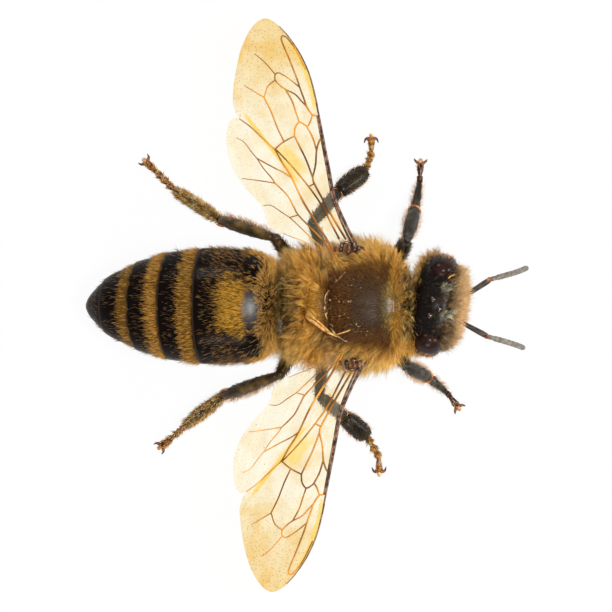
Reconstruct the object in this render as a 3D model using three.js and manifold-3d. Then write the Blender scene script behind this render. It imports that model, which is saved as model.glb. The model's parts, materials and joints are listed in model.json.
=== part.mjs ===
// A worker honey bee, life size, standing on its six feet with its four wings spread.
// Lengths are millimetres and angles are degrees.
// +X runs forward to the head, +Y to the bee's left and +Z up from the floor.
// Each solid reaches to the tips of the hairs on its part of the body.

import * as THREE from 'three';
import { mergeVertices } from 'three/addons/utils/BufferGeometryUtils.js';
import Module from 'manifold-3d';

const wasm = await Module();
wasm.setup();

// ---------------------------------------------------------------- driving sizes

const gap = 0.03;               // clear space between two pieces that meet
const weldDistance = 1e-5;      // corners closer than this are one corner

const thorax = {
  centre: [1.83, 0, 3.5],
  half: [2.02, 2.52, 2.2],
  square: 2.4,
  sides: 14,
  rings: 12,
};
const scutellum = {
  centre: [0.28, 0, 5.02],
  half: [0.62, 1.3, 0.66],
  square: 2.3,
  sides: 12,
  rings: 8,
};
const collar = {
  centre: [3.4, 0, 3.6],
  half: [0.66, 1.9, 1.65],
  square: 2.4,
  sides: 12,
  rings: 8,
};
const waist = {
  centre: [-0.15, 0, 3.2],
  half: [1.08, 2.48, 1.9],
  square: 2.8,
  sides: 14,
  rings: 10,
};

const abdomen = {
  front: [-1.24, 3.15],         // X and Z where the waist enters it
  bendRadius: 19.7,             // its middle line is an arc that curves down to the tip
  slopeAtFront: 4,
  slopeAtTip: 26,
  halfWidth: 2.29,
  rise: 1.95,                   // from the middle line up to the back
  drop: 1.85,                   // from the middle line down to the belly
  widestAt: 0.32,               // share of the length, from the front
  // Shares of the length at which the plates of the back end.
  plateEnds: [0.07, 0.37, 0.54, 0.7, 0.865, 1],
  overlap: 0.05,                // how far a plate's rear edge stands out over the next one
};

const head = {
  centre: new THREE.Vector3(4.72, 0.03, 2.95),
  yaw: -11,                     // it looks a little to the bee's right
  tilt: -10,                    // the face is turned up a little
  half: [1.16, 1.87, 1.68],
  square: 2.7,
  sides: 16,
  backDepth: 0.68,              // the back of the head is flatter than the face
  chinTaper: 0.36,              // how much the face narrows towards the jaws
};
const eye = { centre: [0.03, 1.44, 0.22], half: [0.57, 0.53, 1.2], sides: 10, rings: 8 };
const jaw = { from: [0.3, 0.52, -1.25], to: [0.42, 0.16, -1.95], radii: [0.27, 0.3, 0.25] };
const tongue = { from: [0.0, 0, -1.3], to: [-0.85, 0, -1.62], radii: [0.28, 0.3, 0.25] };

const scape = { root: [0.85, 0.42, 0.1], radii: [0.25, 0.25, 0.26] };
const flagellum = { radius: 0.25, sides: 6, steps: 8 };
// Each elbow and tip is the end of a scape or of a flagellum, and each middle its bend.
const feelers = {
  left: { elbow: [6.8, 1.0, 3.3], middle: [7.75, 1.26, 2.55], tip: [8.26, 1.44, 1.2] },
  right: { elbow: [6.7, -1.15, 3.3], middle: [7.65, -1.42, 2.55], tip: [8.13, -1.58, 1.2] },
};

const wing = { thickness: 0.5, rise: 3 };
const wingRoots = {
  left: { at: [1.6, 2.36, 4.32], heading: 111.4 },
  right: { at: [1.84, -2.29, 4.32], heading: -111.2 },
};
// Wing outlines: the first number runs from the root to the tip, the second to the rear.
const foreFrontEdge = [
  [-0.5, 0.08], [0.7, 0.04], [1.8, 0.0], [2.85, -0.22], [4.7, -0.56], [6.4, -0.81],
  [7.3, -0.76], [8.0, -0.58], [8.65, -0.26],
];
const foreOuterEdge = [
  [9.0, 0.1], [8.75, 0.71], [8.2, 1.25], [7.45, 1.77], [6.6, 2.2], [6.0, 2.26],
];
const foldLine = [
  [5.35, 1.9], [4.3, 1.41], [2.95, 1.2], [1.45, 0.9], [0, 0.69], [-0.5, 0.62],
];
const hindOuterEdge = [
  [5.95, 2.4], [5.85, 2.65], [5.45, 2.91], [4.9, 3.1], [4.2, 3.15], [3.6, 3.05], [3.0, 2.83],
  [2.55, 2.66], [2.15, 2.7], [1.8, 2.67], [1.45, 2.49], [0.77, 1.8], [0.4, 1.45], [-0.2, 1.3],
];
const tegula = {
  centre: [1.93, 2.22, 4.42],
  half: [0.42, 0.36, 0.32],
  sides: 8,
  rings: 6,
};

// Legs. A flatness of 1 is a round piece; less is thinner from side to side than it is tall.
const legKinds = {
  fore: {
    heights: { hip: 2.1, trochanter: 1.15, knee: 2.5, ankle: 1.05, heel: 0.42, toe: 0.17 },
    coxa: { radii: [0.36, 0.38, 0.3], flatness: 1 },
    femur: { radii: [0.28, 0.36, 0.34, 0.27], flatness: 0.85 },
    tibia: { radii: [0.26, 0.32, 0.34], flatness: 0.85 },
    basitarsus: { radii: [0.27, 0.29, 0.26], flatness: 0.9 },
  },
  middle: {
    heights: { hip: 2.0, trochanter: 1.05, knee: 2.6, ankle: 1.2, heel: 0.42, toe: 0.17 },
    coxa: { radii: [0.38, 0.4, 0.32], flatness: 1 },
    femur: { radii: [0.3, 0.4, 0.36, 0.28], flatness: 0.85 },
    tibia: { radii: [0.27, 0.35, 0.4], flatness: 0.8 },
    basitarsus: { radii: [0.32, 0.4, 0.3], flatness: 0.95 },
  },
  hind: {
    heights: { hip: 2.0, trochanter: 1.05, knee: 2.75, ankle: 0.95, heel: 0.5, toe: 0.17 },
    coxa: { radii: [0.4, 0.42, 0.34], flatness: 1 },
    femur: { radii: [0.32, 0.44, 0.4, 0.3], flatness: 0.8 },
    tibia: { radii: [0.28, 0.42, 0.56, 0.56], flatness: 0.56 },
    basitarsus: { radii: [0.42, 0.5, 0.44, 0.3], flatness: 0.62 },
  },
};
// The stance: where each hip is in plan, then the compass heading and the plan length of the
// coxa, femur, tibia, basitarsus and tarsus. A heading of 0 is forward and 90 is the left.
const stance = {
  fore_left: {
    hip: [3.35, 0.6], headings: [94, 76, 74, 79, 87], reaches: [0.5, 1.45, 1.24, 1.05, 0.67],
  },
  fore_right: {
    hip: [3.35, -0.45], headings: [-94, -79, -27, -39, -52], reaches: [0.5, 1.3, 1.07, 0.94, 0.55],
  },
  middle_left: {
    hip: [1.42, 0.6], headings: [115, 112, 49, 39, 80], reaches: [0.79, 2.23, 1.23, 1.4, 1.07],
  },
  middle_right: {
    hip: [1.42, -0.45], headings: [-118, -106, -49, -41, -71], reaches: [0.87, 2.08, 1.26, 1.24, 1.24],
  },
  hind_left: {
    hip: [0.13, 0.57], headings: [129, 124, 161, 147, 135], reaches: [0.59, 1.84, 2.26, 2.09, 1.44],
  },
  hind_right: {
    hip: [0.13, -0.45], headings: [-127, -118, -159, -142, -139], reaches: [0.62, 1.87, 2.31, 1.91, 1.05],
  },
};
const tarsus = {
  smallJoints: 3,               // short joints between the long one and the stalk
  waistRadius: 0.21,
  beadRadius: 0.25,
  stalkRadius: 0.23,
  padRadius: 0.26,
  claw: { spread: 40, length: 0.3, radius: 0.1, height: 0.14 },
};

const colours = {
  skin: 0x3a2818,
  coat: 0xa87a35,
  plate: 0x241a14,
  eye: 0x2a1d1a,
  leg: 0x33241a,
  foot: 0x8a5a30,
  wing: 0xe8cf92,
};

// ---------------------------------------------------------------- making solids

const degrees = THREE.MathUtils.degToRad;
const vector = (array) => new THREE.Vector3(...array);
const bothSides = ['left', 'right'];
const bee = new THREE.Group();

// A closed three.js geometry as a solid that can be joined and cut.
function toSolid(geometry) {
  geometry.deleteAttribute('normal');
  geometry.deleteAttribute('uv');
  const merged = mergeVertices(geometry, weldDistance);
  const corners = merged.index.array;
  const kept = [];
  for (let i = 0; i < corners.length; i += 3) {
    const [a, b, c] = corners.slice(i, i + 3);
    if (a !== b && b !== c && c !== a) {
      kept.push(a, b, c);
    }
  }
  return new wasm.Manifold(new wasm.Mesh({
    numProp: 3,
    vertProperties: merged.attributes.position.array,
    triVerts: new Uint32Array(kept),
  }));
}

// A finished solid as a named node of the bee.
function addNode(name, solid, colour, roughness = 0.6) {
  const { vertProperties, triVerts } = solid.getMesh();
  const geometry = new THREE.BufferGeometry();
  geometry.setAttribute('position', new THREE.BufferAttribute(vertProperties, 3));
  geometry.setIndex(new THREE.BufferAttribute(triVerts, 1));
  geometry.computeVertexNormals();
  const material = new THREE.MeshStandardMaterial({ color: colour, roughness, metalness: 0 });
  const node = new THREE.Mesh(geometry, material);
  node.name = name;
  bee.add(node);
}

// A sphere stretched to half sizes. A square of 2 is an ellipsoid, and more is boxier.
// The shape function may scale each unit point further, and frame places the result.
function blob({ centre = [0, 0, 0], half, square = 2, sides = 14, rings = 12 }, options = {}) {
  const { grow = 0, shape = () => [1, 1, 1], frame = new THREE.Matrix4() } = options;
  const geometry = new THREE.SphereGeometry(1, sides, rings);
  const position = geometry.attributes.position;
  const point = new THREE.Vector3();
  for (let i = 0; i < position.count; i += 1) {
    point.fromBufferAttribute(position, i);
    const sum = point.toArray().reduce((total, part) => total + Math.abs(part) ** square, 0);
    point.divideScalar(sum ** (1 / square));
    const scale = shape(point);
    point.set(...point.toArray().map((part, k) => centre[k] + part * scale[k] * (half[k] + grow)));
    position.setXYZ(i, ...point.toArray());
  }
  geometry.applyMatrix4(frame);
  return toSolid(geometry);
}

// A domed piece from one point to another, with its radii at even steps along it.
// It is radii high and radii times flatness wide.
function limb(from, to, { radii, flatness = 1 }, grow = 0, sides = 8) {
  const axis = to.clone().sub(from);
  const length = axis.length();
  axis.normalize();
  const first = radii[0] + grow;
  const last = radii[radii.length - 1] + grow;
  const domeSteep = Math.SQRT1_2;
  const outline = [
    new THREE.Vector2(0, -first),
    new THREE.Vector2(first * domeSteep, -first * domeSteep),
  ];
  radii.forEach((radius, i) => {
    outline.push(new THREE.Vector2(radius + grow, (length * i) / (radii.length - 1)));
  });
  outline.push(new THREE.Vector2(last * domeSteep, length + last * domeSteep));
  outline.push(new THREE.Vector2(0, length + last));
  const geometry = new THREE.LatheGeometry(outline, sides);
  const across = new THREE.Vector3().crossVectors(new THREE.Vector3(0, 0, 1), axis).normalize();
  const upwards = new THREE.Vector3().crossVectors(across, axis);
  geometry.scale(flatness, 1, 1);
  const frame = new THREE.Matrix4().makeBasis(across, axis, upwards).setPosition(from);
  geometry.applyMatrix4(frame);
  return toSolid(geometry);
}

// ---------------------------------------------------------------- thorax

const thoraxSolid = (grow = 0) => blob(thorax, { grow });
const scutellumSolid = (grow = 0) => blob(scutellum, { grow });
const waistSolid = (grow = 0) => blob(waist, { grow });
const collarSolid = (grow = 0) => blob(collar, { grow });

addNode('thorax', thoraxSolid().subtract(scutellumSolid(gap)), colours.coat, 0.8);
addNode('scutellum', scutellumSolid(), colours.skin, 0.7);
addNode(
  'propodeum',
  waistSolid().subtract(thoraxSolid(gap)).subtract(scutellumSolid(gap)),
  colours.coat,
  0.8,
);

// ---------------------------------------------------------------- head

const headFrame = new THREE.Matrix4()
  .makeRotationZ(degrees(head.yaw))
  .multiply(new THREE.Matrix4().makeRotationY(degrees(head.tilt)))
  .setPosition(head.centre);
const inHead = (array) => vector(array).applyMatrix4(headFrame);
const mirrored = ([x, y, z], side) => [x, side === 'left' ? y : -y, z];

// The face narrows to the jaws, and the back of the head is flat.
function headShape(point) {
  const below = Math.max(0, -point.z);
  const narrowing = 1 - head.chinTaper * below ** 1.5;
  return [point.x < 0 ? head.backDepth : 1, narrowing, 1];
}

const headSolid = (grow = 0) => blob(
  { half: head.half, square: head.square, sides: head.sides },
  { grow, shape: headShape, frame: headFrame },
);
const eyeSolid = (side, grow = 0) => blob(
  { ...eye, centre: mirrored(eye.centre, side) },
  { grow, frame: headFrame },
);
const jawSolid = (side, grow = 0) => limb(
  inHead(mirrored(jaw.from, side)),
  inHead(mirrored(jaw.to, side)),
  jaw,
  grow,
);
addNode(
  'head',
  headSolid().subtract(thoraxSolid(gap))
    .subtract(eyeSolid('left', gap)).subtract(eyeSolid('right', gap)),
  colours.skin,
  0.5,
);
let tongueSolid = limb(inHead(tongue.from), inHead(tongue.to), tongue).subtract(headSolid(gap));
bothSides.forEach((side) => {
  addNode(`eye_${side}`, eyeSolid(side), colours.eye, 0.25);
  let piece = jawSolid(side).subtract(headSolid(gap));
  if (side === 'right') {
    piece = piece.subtract(jawSolid('left', gap));
  }
  addNode(`mandible_${side}`, piece, colours.foot, 0.4);
  tongueSolid = tongueSolid.subtract(jawSolid(side, gap));
});
addNode('proboscis', tongueSolid, colours.foot, 0.5);
addNode(
  'pronotum',
  collarSolid().subtract(thoraxSolid(gap)).subtract(headSolid(gap))
    .subtract(eyeSolid('left', gap)).subtract(eyeSolid('right', gap)),
  colours.coat,
  0.8,
);

// The scape leaves the face, and the flagellum bends down from its far end.
bothSides.forEach((side) => {
  const root = inHead(mirrored(scape.root, side));
  const { elbow, middle, tip } = feelers[side];
  const scapeSolid = (grow) => limb(root, vector(elbow), scape, grow);
  addNode(`antenna_${side}_scape`, scapeSolid(0).subtract(headSolid(gap)), colours.leg, 0.4);
  const path = new THREE.CatmullRomCurve3([elbow, middle, tip].map(vector));
  const section = new THREE.Shape();
  for (let i = 0; i < flagellum.sides; i += 1) {
    const turn = (2 * Math.PI * i) / flagellum.sides;
    const corner = [flagellum.radius * Math.cos(turn), flagellum.radius * Math.sin(turn)];
    if (i === 0) {
      section.moveTo(...corner);
    } else {
      section.lineTo(...corner);
    }
  }
  section.closePath();
  const rod = new THREE.ExtrudeGeometry(section, {
    steps: flagellum.steps,
    extrudePath: path,
    curveSegments: 1,
  });
  addNode(`antenna_${side}_flagellum`, toSolid(rod).subtract(scapeSolid(gap)), colours.leg, 0.5);
});

// ---------------------------------------------------------------- wings

const smooth = (points, count) => new THREE.SplineCurve(
  points.map(([along, back]) => new THREE.Vector2(along, back)),
).getPoints(count);

// One wing is a thin plate that leaves the thorax at its root and rises a little outwards.
function wingPlate(outline, side, grow = 0) {
  const { at, heading } = wingRoots[side];
  const along = new THREE.Vector3(
    Math.cos(degrees(heading)) * Math.cos(degrees(wing.rise)),
    Math.sin(degrees(heading)) * Math.cos(degrees(wing.rise)),
    Math.sin(degrees(wing.rise)),
  );
  const handed = side === 'left' ? 1 : -1;
  const back = new THREE.Vector3(-Math.sin(degrees(heading)), Math.cos(degrees(heading)), 0)
    .multiplyScalar(handed);
  const depth = wing.thickness + 2 * grow;
  const geometry = new THREE.ExtrudeGeometry(new THREE.Shape(outline), {
    depth,
    bevelEnabled: false,
  });
  geometry.translate(0, 0, -depth / 2);
  const upwards = new THREE.Vector3().crossVectors(along, back);
  const frame = new THREE.Matrix4().makeBasis(along, back, upwards).setPosition(vector(at));
  geometry.applyMatrix4(frame);
  return toSolid(geometry);
}

const foldCurve = smooth(foldLine, 12);
const foreOutline = [...smooth(foreFrontEdge, 14), ...smooth(foreOuterEdge, 9), ...foldCurve];
const hindFrontEdge = foldCurve.map((point) => new THREE.Vector2(point.x, point.y + gap));
const hindOutline = [...hindFrontEdge.reverse(), ...smooth(hindOuterEdge, 22)];

bothSides.forEach((side) => {
  const tegulaSolid = (grow = 0) => blob(
    { ...tegula, centre: mirrored(tegula.centre, side) },
    { grow },
  );
  addNode(`tegula_${side}`, tegulaSolid().subtract(thoraxSolid(gap)), colours.foot, 0.4);
  const outlines = { forewing: foreOutline, hindwing: hindOutline };
  Object.entries(outlines).forEach(([name, outline]) => {
    const piece = wingPlate(outline, side)
      .subtract(thoraxSolid(gap))
      .subtract(waistSolid(gap))
      .subtract(tegulaSolid(gap));
    addNode(`${name}_${side}`, piece, colours.wing, 0.3);
  });
});

// ---------------------------------------------------------------- abdomen

// Half width of the abdomen, as a share of its greatest, from the front (0) to the tip (1).
function girth(along) {
  const { widestAt } = abdomen;
  if (along < widestAt) {
    return (1 - ((widestAt - along) / widestAt) ** 4) ** 0.25;
  }
  return (1 - Math.min(1, (along - widestAt) / (1 - widestAt)) ** 1.9) ** 0.625;
}

// A point of the abdomen's surface: share of the length, then across and up as shares of the
// greatest half width and height.
function onAbdomen(along, across, up) {
  const start = degrees(abdomen.slopeAtFront);
  const slope = start + degrees(abdomen.slopeAtTip - abdomen.slopeAtFront) * along;
  const [x, z] = abdomen.front;
  const middleX = x - abdomen.bendRadius * (Math.sin(slope) - Math.sin(start));
  const middleZ = z - abdomen.bendRadius * (Math.cos(start) - Math.cos(slope));
  const height = up * (up > 0 ? abdomen.rise : abdomen.drop);
  return new THREE.Vector3(
    middleX - height * Math.sin(slope),
    across * abdomen.halfWidth,
    middleZ + height * Math.cos(slope),
  );
}

// Each plate is a turned ring, closed at both ends and bent to the abdomen's arc.
const abdomenLength = abdomen.bendRadius * degrees(abdomen.slopeAtTip - abdomen.slopeAtFront);
const plateSides = 20;
const plateSteps = 3;
let plateStart = 0;
abdomen.plateEnds.forEach((end, index) => {
  const last = index === abdomen.plateEnds.length - 1;
  const from = index === 0 ? 0 : plateStart + gap / abdomenLength;
  const outline = [new THREE.Vector2(0, from)];
  for (let i = 0; i <= plateSteps; i += 1) {
    const along = from + ((end - from) * i) / plateSteps;
    const step = (abdomen.overlap / abdomen.halfWidth) * (1 - i / plateSteps);
    outline.push(new THREE.Vector2(Math.max(0, girth(along) - step), along));
  }
  if (!last) {
    outline.push(new THREE.Vector2(0, end));
  }
  const startsAtPoint = outline[1].x === 0;
  const geometry = new THREE.LatheGeometry(startsAtPoint ? outline.slice(1) : outline, plateSides);
  const position = geometry.attributes.position;
  for (let i = 0; i < position.count; i += 1) {
    const point = onAbdomen(position.getY(i), position.getX(i), position.getZ(i));
    position.setXYZ(i, ...point.toArray());
  }
  let plate = toSolid(geometry);
  if (index < 2) {
    plate = plate.subtract(waistSolid(gap));
  }
  addNode(`abdomen_${index + 1}`, plate, colours.plate, 0.4);
  plateStart = end;
});

// ---------------------------------------------------------------- legs

const floorBlock = (() => {
  const block = new THREE.BoxGeometry(60, 60, 10);
  block.translate(0, 0, -5);
  return toSolid(block);
})();

// The foot: small joints and a long stalk, then a soft pad on the floor between two claws.
function tarsusSolid(heel, toe, heelRadius) {
  const { smallJoints, waistRadius, beadRadius, stalkRadius, padRadius, claw } = tarsus;
  const radii = [];
  for (let i = 0; i < smallJoints; i += 1) {
    radii.push(waistRadius, beadRadius);
  }
  radii.push(waistRadius, stalkRadius, padRadius);
  const start = heel.clone().addScaledVector(toe.clone().sub(heel).normalize(), heelRadius);
  let solid = limb(start, toe, { radii }, 0, 6);
  const heading = Math.atan2(toe.y - heel.y, toe.x - heel.x);
  [-1, 1].forEach((hand) => {
    const turned = heading + hand * degrees(claw.spread);
    const point = new THREE.Vector3(
      toe.x + claw.length * Math.cos(turned),
      toe.y + claw.length * Math.sin(turned),
      claw.height,
    );
    solid = solid.add(limb(toe, point, { radii: [claw.radius, claw.radius] }, 0, 4));
  });
  return solid;
}

const legPieces = ['coxa', 'femur', 'tibia', 'basitarsus'];
const jointNames = ['trochanter', 'knee', 'ankle', 'heel', 'toe'];
Object.entries(stance).forEach(([leg, { hip, headings, reaches }]) => {
  const kind = legKinds[leg.split('_')[0]];
  const joints = [new THREE.Vector3(hip[0], hip[1], kind.heights.hip)];
  jointNames.forEach((joint, i) => {
    const last = joints[i];
    joints.push(new THREE.Vector3(
      last.x + reaches[i] * Math.cos(degrees(headings[i])),
      last.y + reaches[i] * Math.sin(degrees(headings[i])),
      kind.heights[joint],
    ));
  });
  // A piece starts where it comes out of the one before it, and ends in a round joint.
  const piece = (i, grow = 0) => {
    const shape = kind[legPieces[i]];
    const inset = i === 0 ? 0 : shape.radii[0];
    const direction = joints[i + 1].clone().sub(joints[i]).normalize();
    const start = joints[i].clone().addScaledVector(direction, inset);
    return limb(start, joints[i + 1], shape, grow, i === 0 ? 6 : 8);
  };
  legPieces.forEach((name, i) => {
    let solid = piece(i);
    if (i === 0) {
      solid = solid.subtract(thoraxSolid(gap)).subtract(waistSolid(gap)).subtract(collarSolid(gap));
    } else {
      solid = solid.subtract(piece(i - 1, gap));
    }
    if (i === 1) {
      solid = solid.subtract(thoraxSolid(gap)).subtract(waistSolid(gap));
    }
    addNode(`${leg}_${name}`, solid, colours.leg, 0.45);
  });
  const foot = tarsusSolid(joints[4], joints[5], kind.basitarsus.radii.at(-1))
    .subtract(piece(3, gap))
    .subtract(floorBlock);
  addNode(`${leg}_tarsus`, foot, colours.foot, 0.5);
});

// The origin is on the floor, under the middle of the bee's box.
const box = new THREE.Box3().setFromObject(bee);
const middle = box.getCenter(new THREE.Vector3());
bee.position.set(-middle.x, -middle.y, -box.min.z);
bee.name = 'honey_bee';

export default bee;
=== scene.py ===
# %% [markdown]
# # A worker honey bee, life size
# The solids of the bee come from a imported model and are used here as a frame: they say how big
# each part is and where it sits. Everything that is seen is made in this file, part by part:
# the skin, the eyes, the plates of the abdomen, legs, wings and last the coat of hair.
# We work in millimetres, because a bee is only 14 of them long, and turn each finished mesh
# into metres in one place.

# %% Load the frame
import json
import math

import bmesh
import bpy
import numpy as np
from mathutils import Matrix, Vector
from mathutils.bvhtree import BVHTree
from mathutils.kdtree import KDTree

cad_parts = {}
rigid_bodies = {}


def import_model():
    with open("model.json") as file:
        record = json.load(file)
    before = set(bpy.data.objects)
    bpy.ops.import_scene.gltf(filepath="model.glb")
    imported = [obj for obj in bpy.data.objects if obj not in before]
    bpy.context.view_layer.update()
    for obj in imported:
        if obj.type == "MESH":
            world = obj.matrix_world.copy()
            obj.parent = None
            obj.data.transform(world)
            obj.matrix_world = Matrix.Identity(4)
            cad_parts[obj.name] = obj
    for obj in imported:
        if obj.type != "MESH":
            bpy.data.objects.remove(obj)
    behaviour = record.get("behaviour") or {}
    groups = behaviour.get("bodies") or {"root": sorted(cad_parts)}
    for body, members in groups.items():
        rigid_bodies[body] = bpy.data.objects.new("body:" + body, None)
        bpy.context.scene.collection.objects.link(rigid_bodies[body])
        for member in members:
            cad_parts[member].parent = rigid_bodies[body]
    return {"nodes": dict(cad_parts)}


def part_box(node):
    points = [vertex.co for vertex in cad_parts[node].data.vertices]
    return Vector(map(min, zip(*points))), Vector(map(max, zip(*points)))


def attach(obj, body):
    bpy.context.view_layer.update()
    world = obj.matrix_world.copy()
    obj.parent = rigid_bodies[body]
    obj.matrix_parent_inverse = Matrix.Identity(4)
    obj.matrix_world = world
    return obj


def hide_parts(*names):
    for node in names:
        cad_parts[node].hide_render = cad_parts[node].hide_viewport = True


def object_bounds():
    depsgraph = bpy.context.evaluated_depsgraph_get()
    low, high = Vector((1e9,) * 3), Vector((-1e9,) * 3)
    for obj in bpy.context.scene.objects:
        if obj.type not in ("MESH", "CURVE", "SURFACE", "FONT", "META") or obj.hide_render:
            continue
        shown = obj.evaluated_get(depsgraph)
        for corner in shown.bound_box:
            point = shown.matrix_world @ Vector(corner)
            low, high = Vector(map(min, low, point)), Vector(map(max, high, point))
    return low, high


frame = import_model()
cad_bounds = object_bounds()
MM = 0.001
scene = bpy.context.scene
print("frame:", len(frame["nodes"]), "solids")

# %% [markdown]
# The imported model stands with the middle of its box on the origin. The sizes below were set
# out from the middle of the thorax instead, so the thorax's own box tells us how far the
# whole bee was moved. `place` turns a spot given in those sizes into a spot in the frame.

# %% Find the bee in the frame
THORAX_MIDDLE = Vector((1.83, 0, 3.5))
BOTH_SIDES = {"left": 1, "right": -1}


def box_mm(node):
    low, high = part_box(node)
    return low / MM, high / MM


low, high = box_mm("thorax")
shift = Vector(((low.x + high.x) / 2 - THORAX_MIDDLE.x, (low.y + high.y) / 2, 0))


def place(x, y, z):
    return Vector((x, y, z)) + shift


def unplace(spots):
    """The opposite of place, for an array of spots."""
    return spots - np.array(shift)


print("shift in mm:", [round(value, 3) for value in shift])

# %% [markdown]
# ## Camera, light and floor
# The bee is seen from straight above, through a long lens. A long lens far away keeps the
# wing tips, which are higher than the feet, from looking larger. The light is a soft box
# overhead and a little in front, weaker ones on three sides, and an even white world.

# %% Camera
LENS_MM = 250
SENSOR_MM = 36
VIEW_WIDTH = 22.95
FOCUS_HEIGHT = 3.5
camera_data = bpy.data.cameras.new("camera")
camera_data.lens = LENS_MM
camera_data.sensor_width = SENSOR_MM
camera_height = FOCUS_HEIGHT + VIEW_WIDTH * LENS_MM / SENSOR_MM
camera = bpy.data.objects.new("camera", camera_data)
camera.location = (place(-0.13, 0, 0) + Vector((0, 0, camera_height))) * MM
camera_data.clip_start = 0.01
camera_data.clip_end = 5
scene.collection.objects.link(camera)
scene.camera = camera
print("camera height in mm:", round(camera_height, 1))

# %% [markdown]
# Shader maths reads best as plain arithmetic. The class below wraps one shader socket; adding,
# subtracting or multiplying two of them puts the Math node in for us. `Recipe` holds one
# material's node tree. Its method `node` adds every other kind of node, and the short methods
# after it are names for the ones that are used most.

# %% A small language for materials
def srgb(red, green, blue):
    """A colour as painters write it, 0 to 255, as the linear light that shaders use."""
    linear = [(c / 255 / 12.92 if c < 11 else ((c / 255 + 0.055) / 1.055) ** 2.4)
              for c in (red, green, blue)]
    return (*linear, 1.0)


class Value:
    """A number made by a node, which can be used in ordinary sums."""

    def __init__(self, recipe, socket):
        self.recipe = recipe
        self.socket = socket

    def maths(self, operation, *others):
        return self.recipe.node("Math", {"operation": operation}, [self, *others])

    def __add__(self, other):
        return self.maths("ADD", other)

    def __sub__(self, other):
        return self.maths("SUBTRACT", other)

    def __mul__(self, other):
        return self.maths("MULTIPLY", other)

    def __truediv__(self, other):
        return self.maths("DIVIDE", other)

    def __rsub__(self, other):
        return self.recipe.node("Math", {"operation": "SUBTRACT"}, [other, self])

    def __abs__(self):
        return self.maths("ABSOLUTE")

    __radd__ = __add__
    __rmul__ = __mul__

    def step(self, start, end):
        """0 below start and 1 above end, with a smooth turn; end may be the smaller."""
        rising = end > start
        ends = [start, end, 0, 1] if rising else [end, start, 1, 0]
        return self.recipe.node("MapRange", {"interpolation_type": "SMOOTHSTEP"}, [self, *ends])


class Recipe:
    """The node tree of one material."""

    def __init__(self, name, slot):
        self.material = bpy.data.materials.new(name)
        self.material.use_nodes = True
        self.tree = self.material.node_tree
        self.tree.nodes.clear()
        self.material["slot"] = slot

    def node(self, kind, settings=None, inputs=(), output=0):
        """Adds a node; inputs are a list by place or a dictionary by socket name or number."""
        made = self.tree.nodes.new("ShaderNode" + kind)
        for key, setting in (settings or {}).items():
            setattr(made, key, setting)
        pairs = inputs.items() if isinstance(inputs, dict) else enumerate(inputs)
        for key, value in pairs:
            if isinstance(value, Value):
                self.tree.links.new(value.socket, made.inputs[key])
            else:
                made.inputs[key].default_value = value
        return Value(self, made.outputs[output]) if made.outputs else None

    def mix(self, factor, first, second):
        """A blend of two colours."""
        return self.node("Mix", {"data_type": "RGBA"}, {0: factor, 6: first, 7: second}, 2)

    def position(self):
        """Where the surface is on the bee, in millimetres."""
        spot = self.node("TexCoord", output="Object")
        return self.node("VectorMath", {"operation": "SCALE"}, {0: spot, "Scale": 1 / MM})

    def attribute(self, name, output):
        return self.node("Attribute", {"attribute_name": name}, output=output)

    def split(self, vector):
        """The three numbers of a vector."""
        parts = self.node("SeparateXYZ", inputs=[vector])
        return [Value(self, parts.socket.node.outputs[i]) for i in range(3)]

    def grain(self, vector, scale, detail):
        """Cloudy noise about 0.5."""
        return self.node("TexNoise", {}, {"Vector": vector, "Scale": scale, "Detail": detail})

    def bump(self, height, depth_mm, strength):
        inputs = {"Strength": strength, "Distance": depth_mm * MM, "Height": height}
        return self.node("Bump", {}, inputs)

    def cells(self, vector, scale):
        """How far each spot is from the middle of its cell, in a pattern of round cells."""
        return self.node("TexVoronoi", {}, {"Vector": vector, "Scale": scale})

    def layer(self, factor, first, second):
        """A blend of two shaders."""
        return self.node("MixShader", {}, {0: factor, 1: first, 2: second})

    def surface(self, **sockets):
        """A Principled shader; names of sockets are written with an underscore for a space."""
        inputs = {key.replace("_", " "): value for key, value in sockets.items()}
        return self.node("BsdfPrincipled", {}, inputs)

    def finish(self, shader):
        self.node("OutputMaterial", {}, {"Surface": shader})
        return self.material

    def paint(self, **sockets):
        """The material of one Principled shader."""
        return self.finish(self.surface(**sockets))


def most(*values):
    """The largest of several values at each spot."""
    largest, *others = values
    for value in others:
        largest = largest.maths("MAXIMUM", value)
    return largest


# %% [markdown]
# The floor is a plain pale sheet. Camera rays see most of it as white, so that the bee stands
# on a clean ground, and a part of it still takes the soft shadow.

# %% Floor and lights
WHITE = (1, 1, 1, 1)
FLOOR_HALF_SIDE = 0.4
FLOOR_WHITE = 0.95
WORLD_STRENGTH = 0.27
# Place and side of each square lamp in mm, and its power in watts.
LAMPS = {
    "overhead": ((34, -6, 115), 26, 0.1),
    "front": ((100, 4, 36), 24, 0.042),
    "rim_left": ((-30, 95, 50), 40, 0.036),
    "rim_right": ((-10, -95, 50), 40, 0.036),
}


def make_floor():
    recipe = Recipe("floor_paper", None)
    rays = recipe.node("LightPath", output="Is Camera Ray")
    paper = recipe.surface(Base_Color=srgb(240, 240, 240), Roughness=0.9)
    glow = recipe.node("Emission", {}, {"Color": WHITE, "Strength": 1.0})
    mixed = recipe.layer(rays * FLOOR_WHITE, paper, glow)
    bm = bmesh.new()
    bmesh.ops.create_grid(bm, x_segments=1, y_segments=1, size=FLOOR_HALF_SIDE)
    mesh = bpy.data.meshes.new("floor")
    bm.to_mesh(mesh)
    bm.free()
    floor = bpy.data.objects.new("floor", mesh)
    scene.collection.objects.link(floor)
    mesh.materials.append(recipe.finish(mixed))


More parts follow.
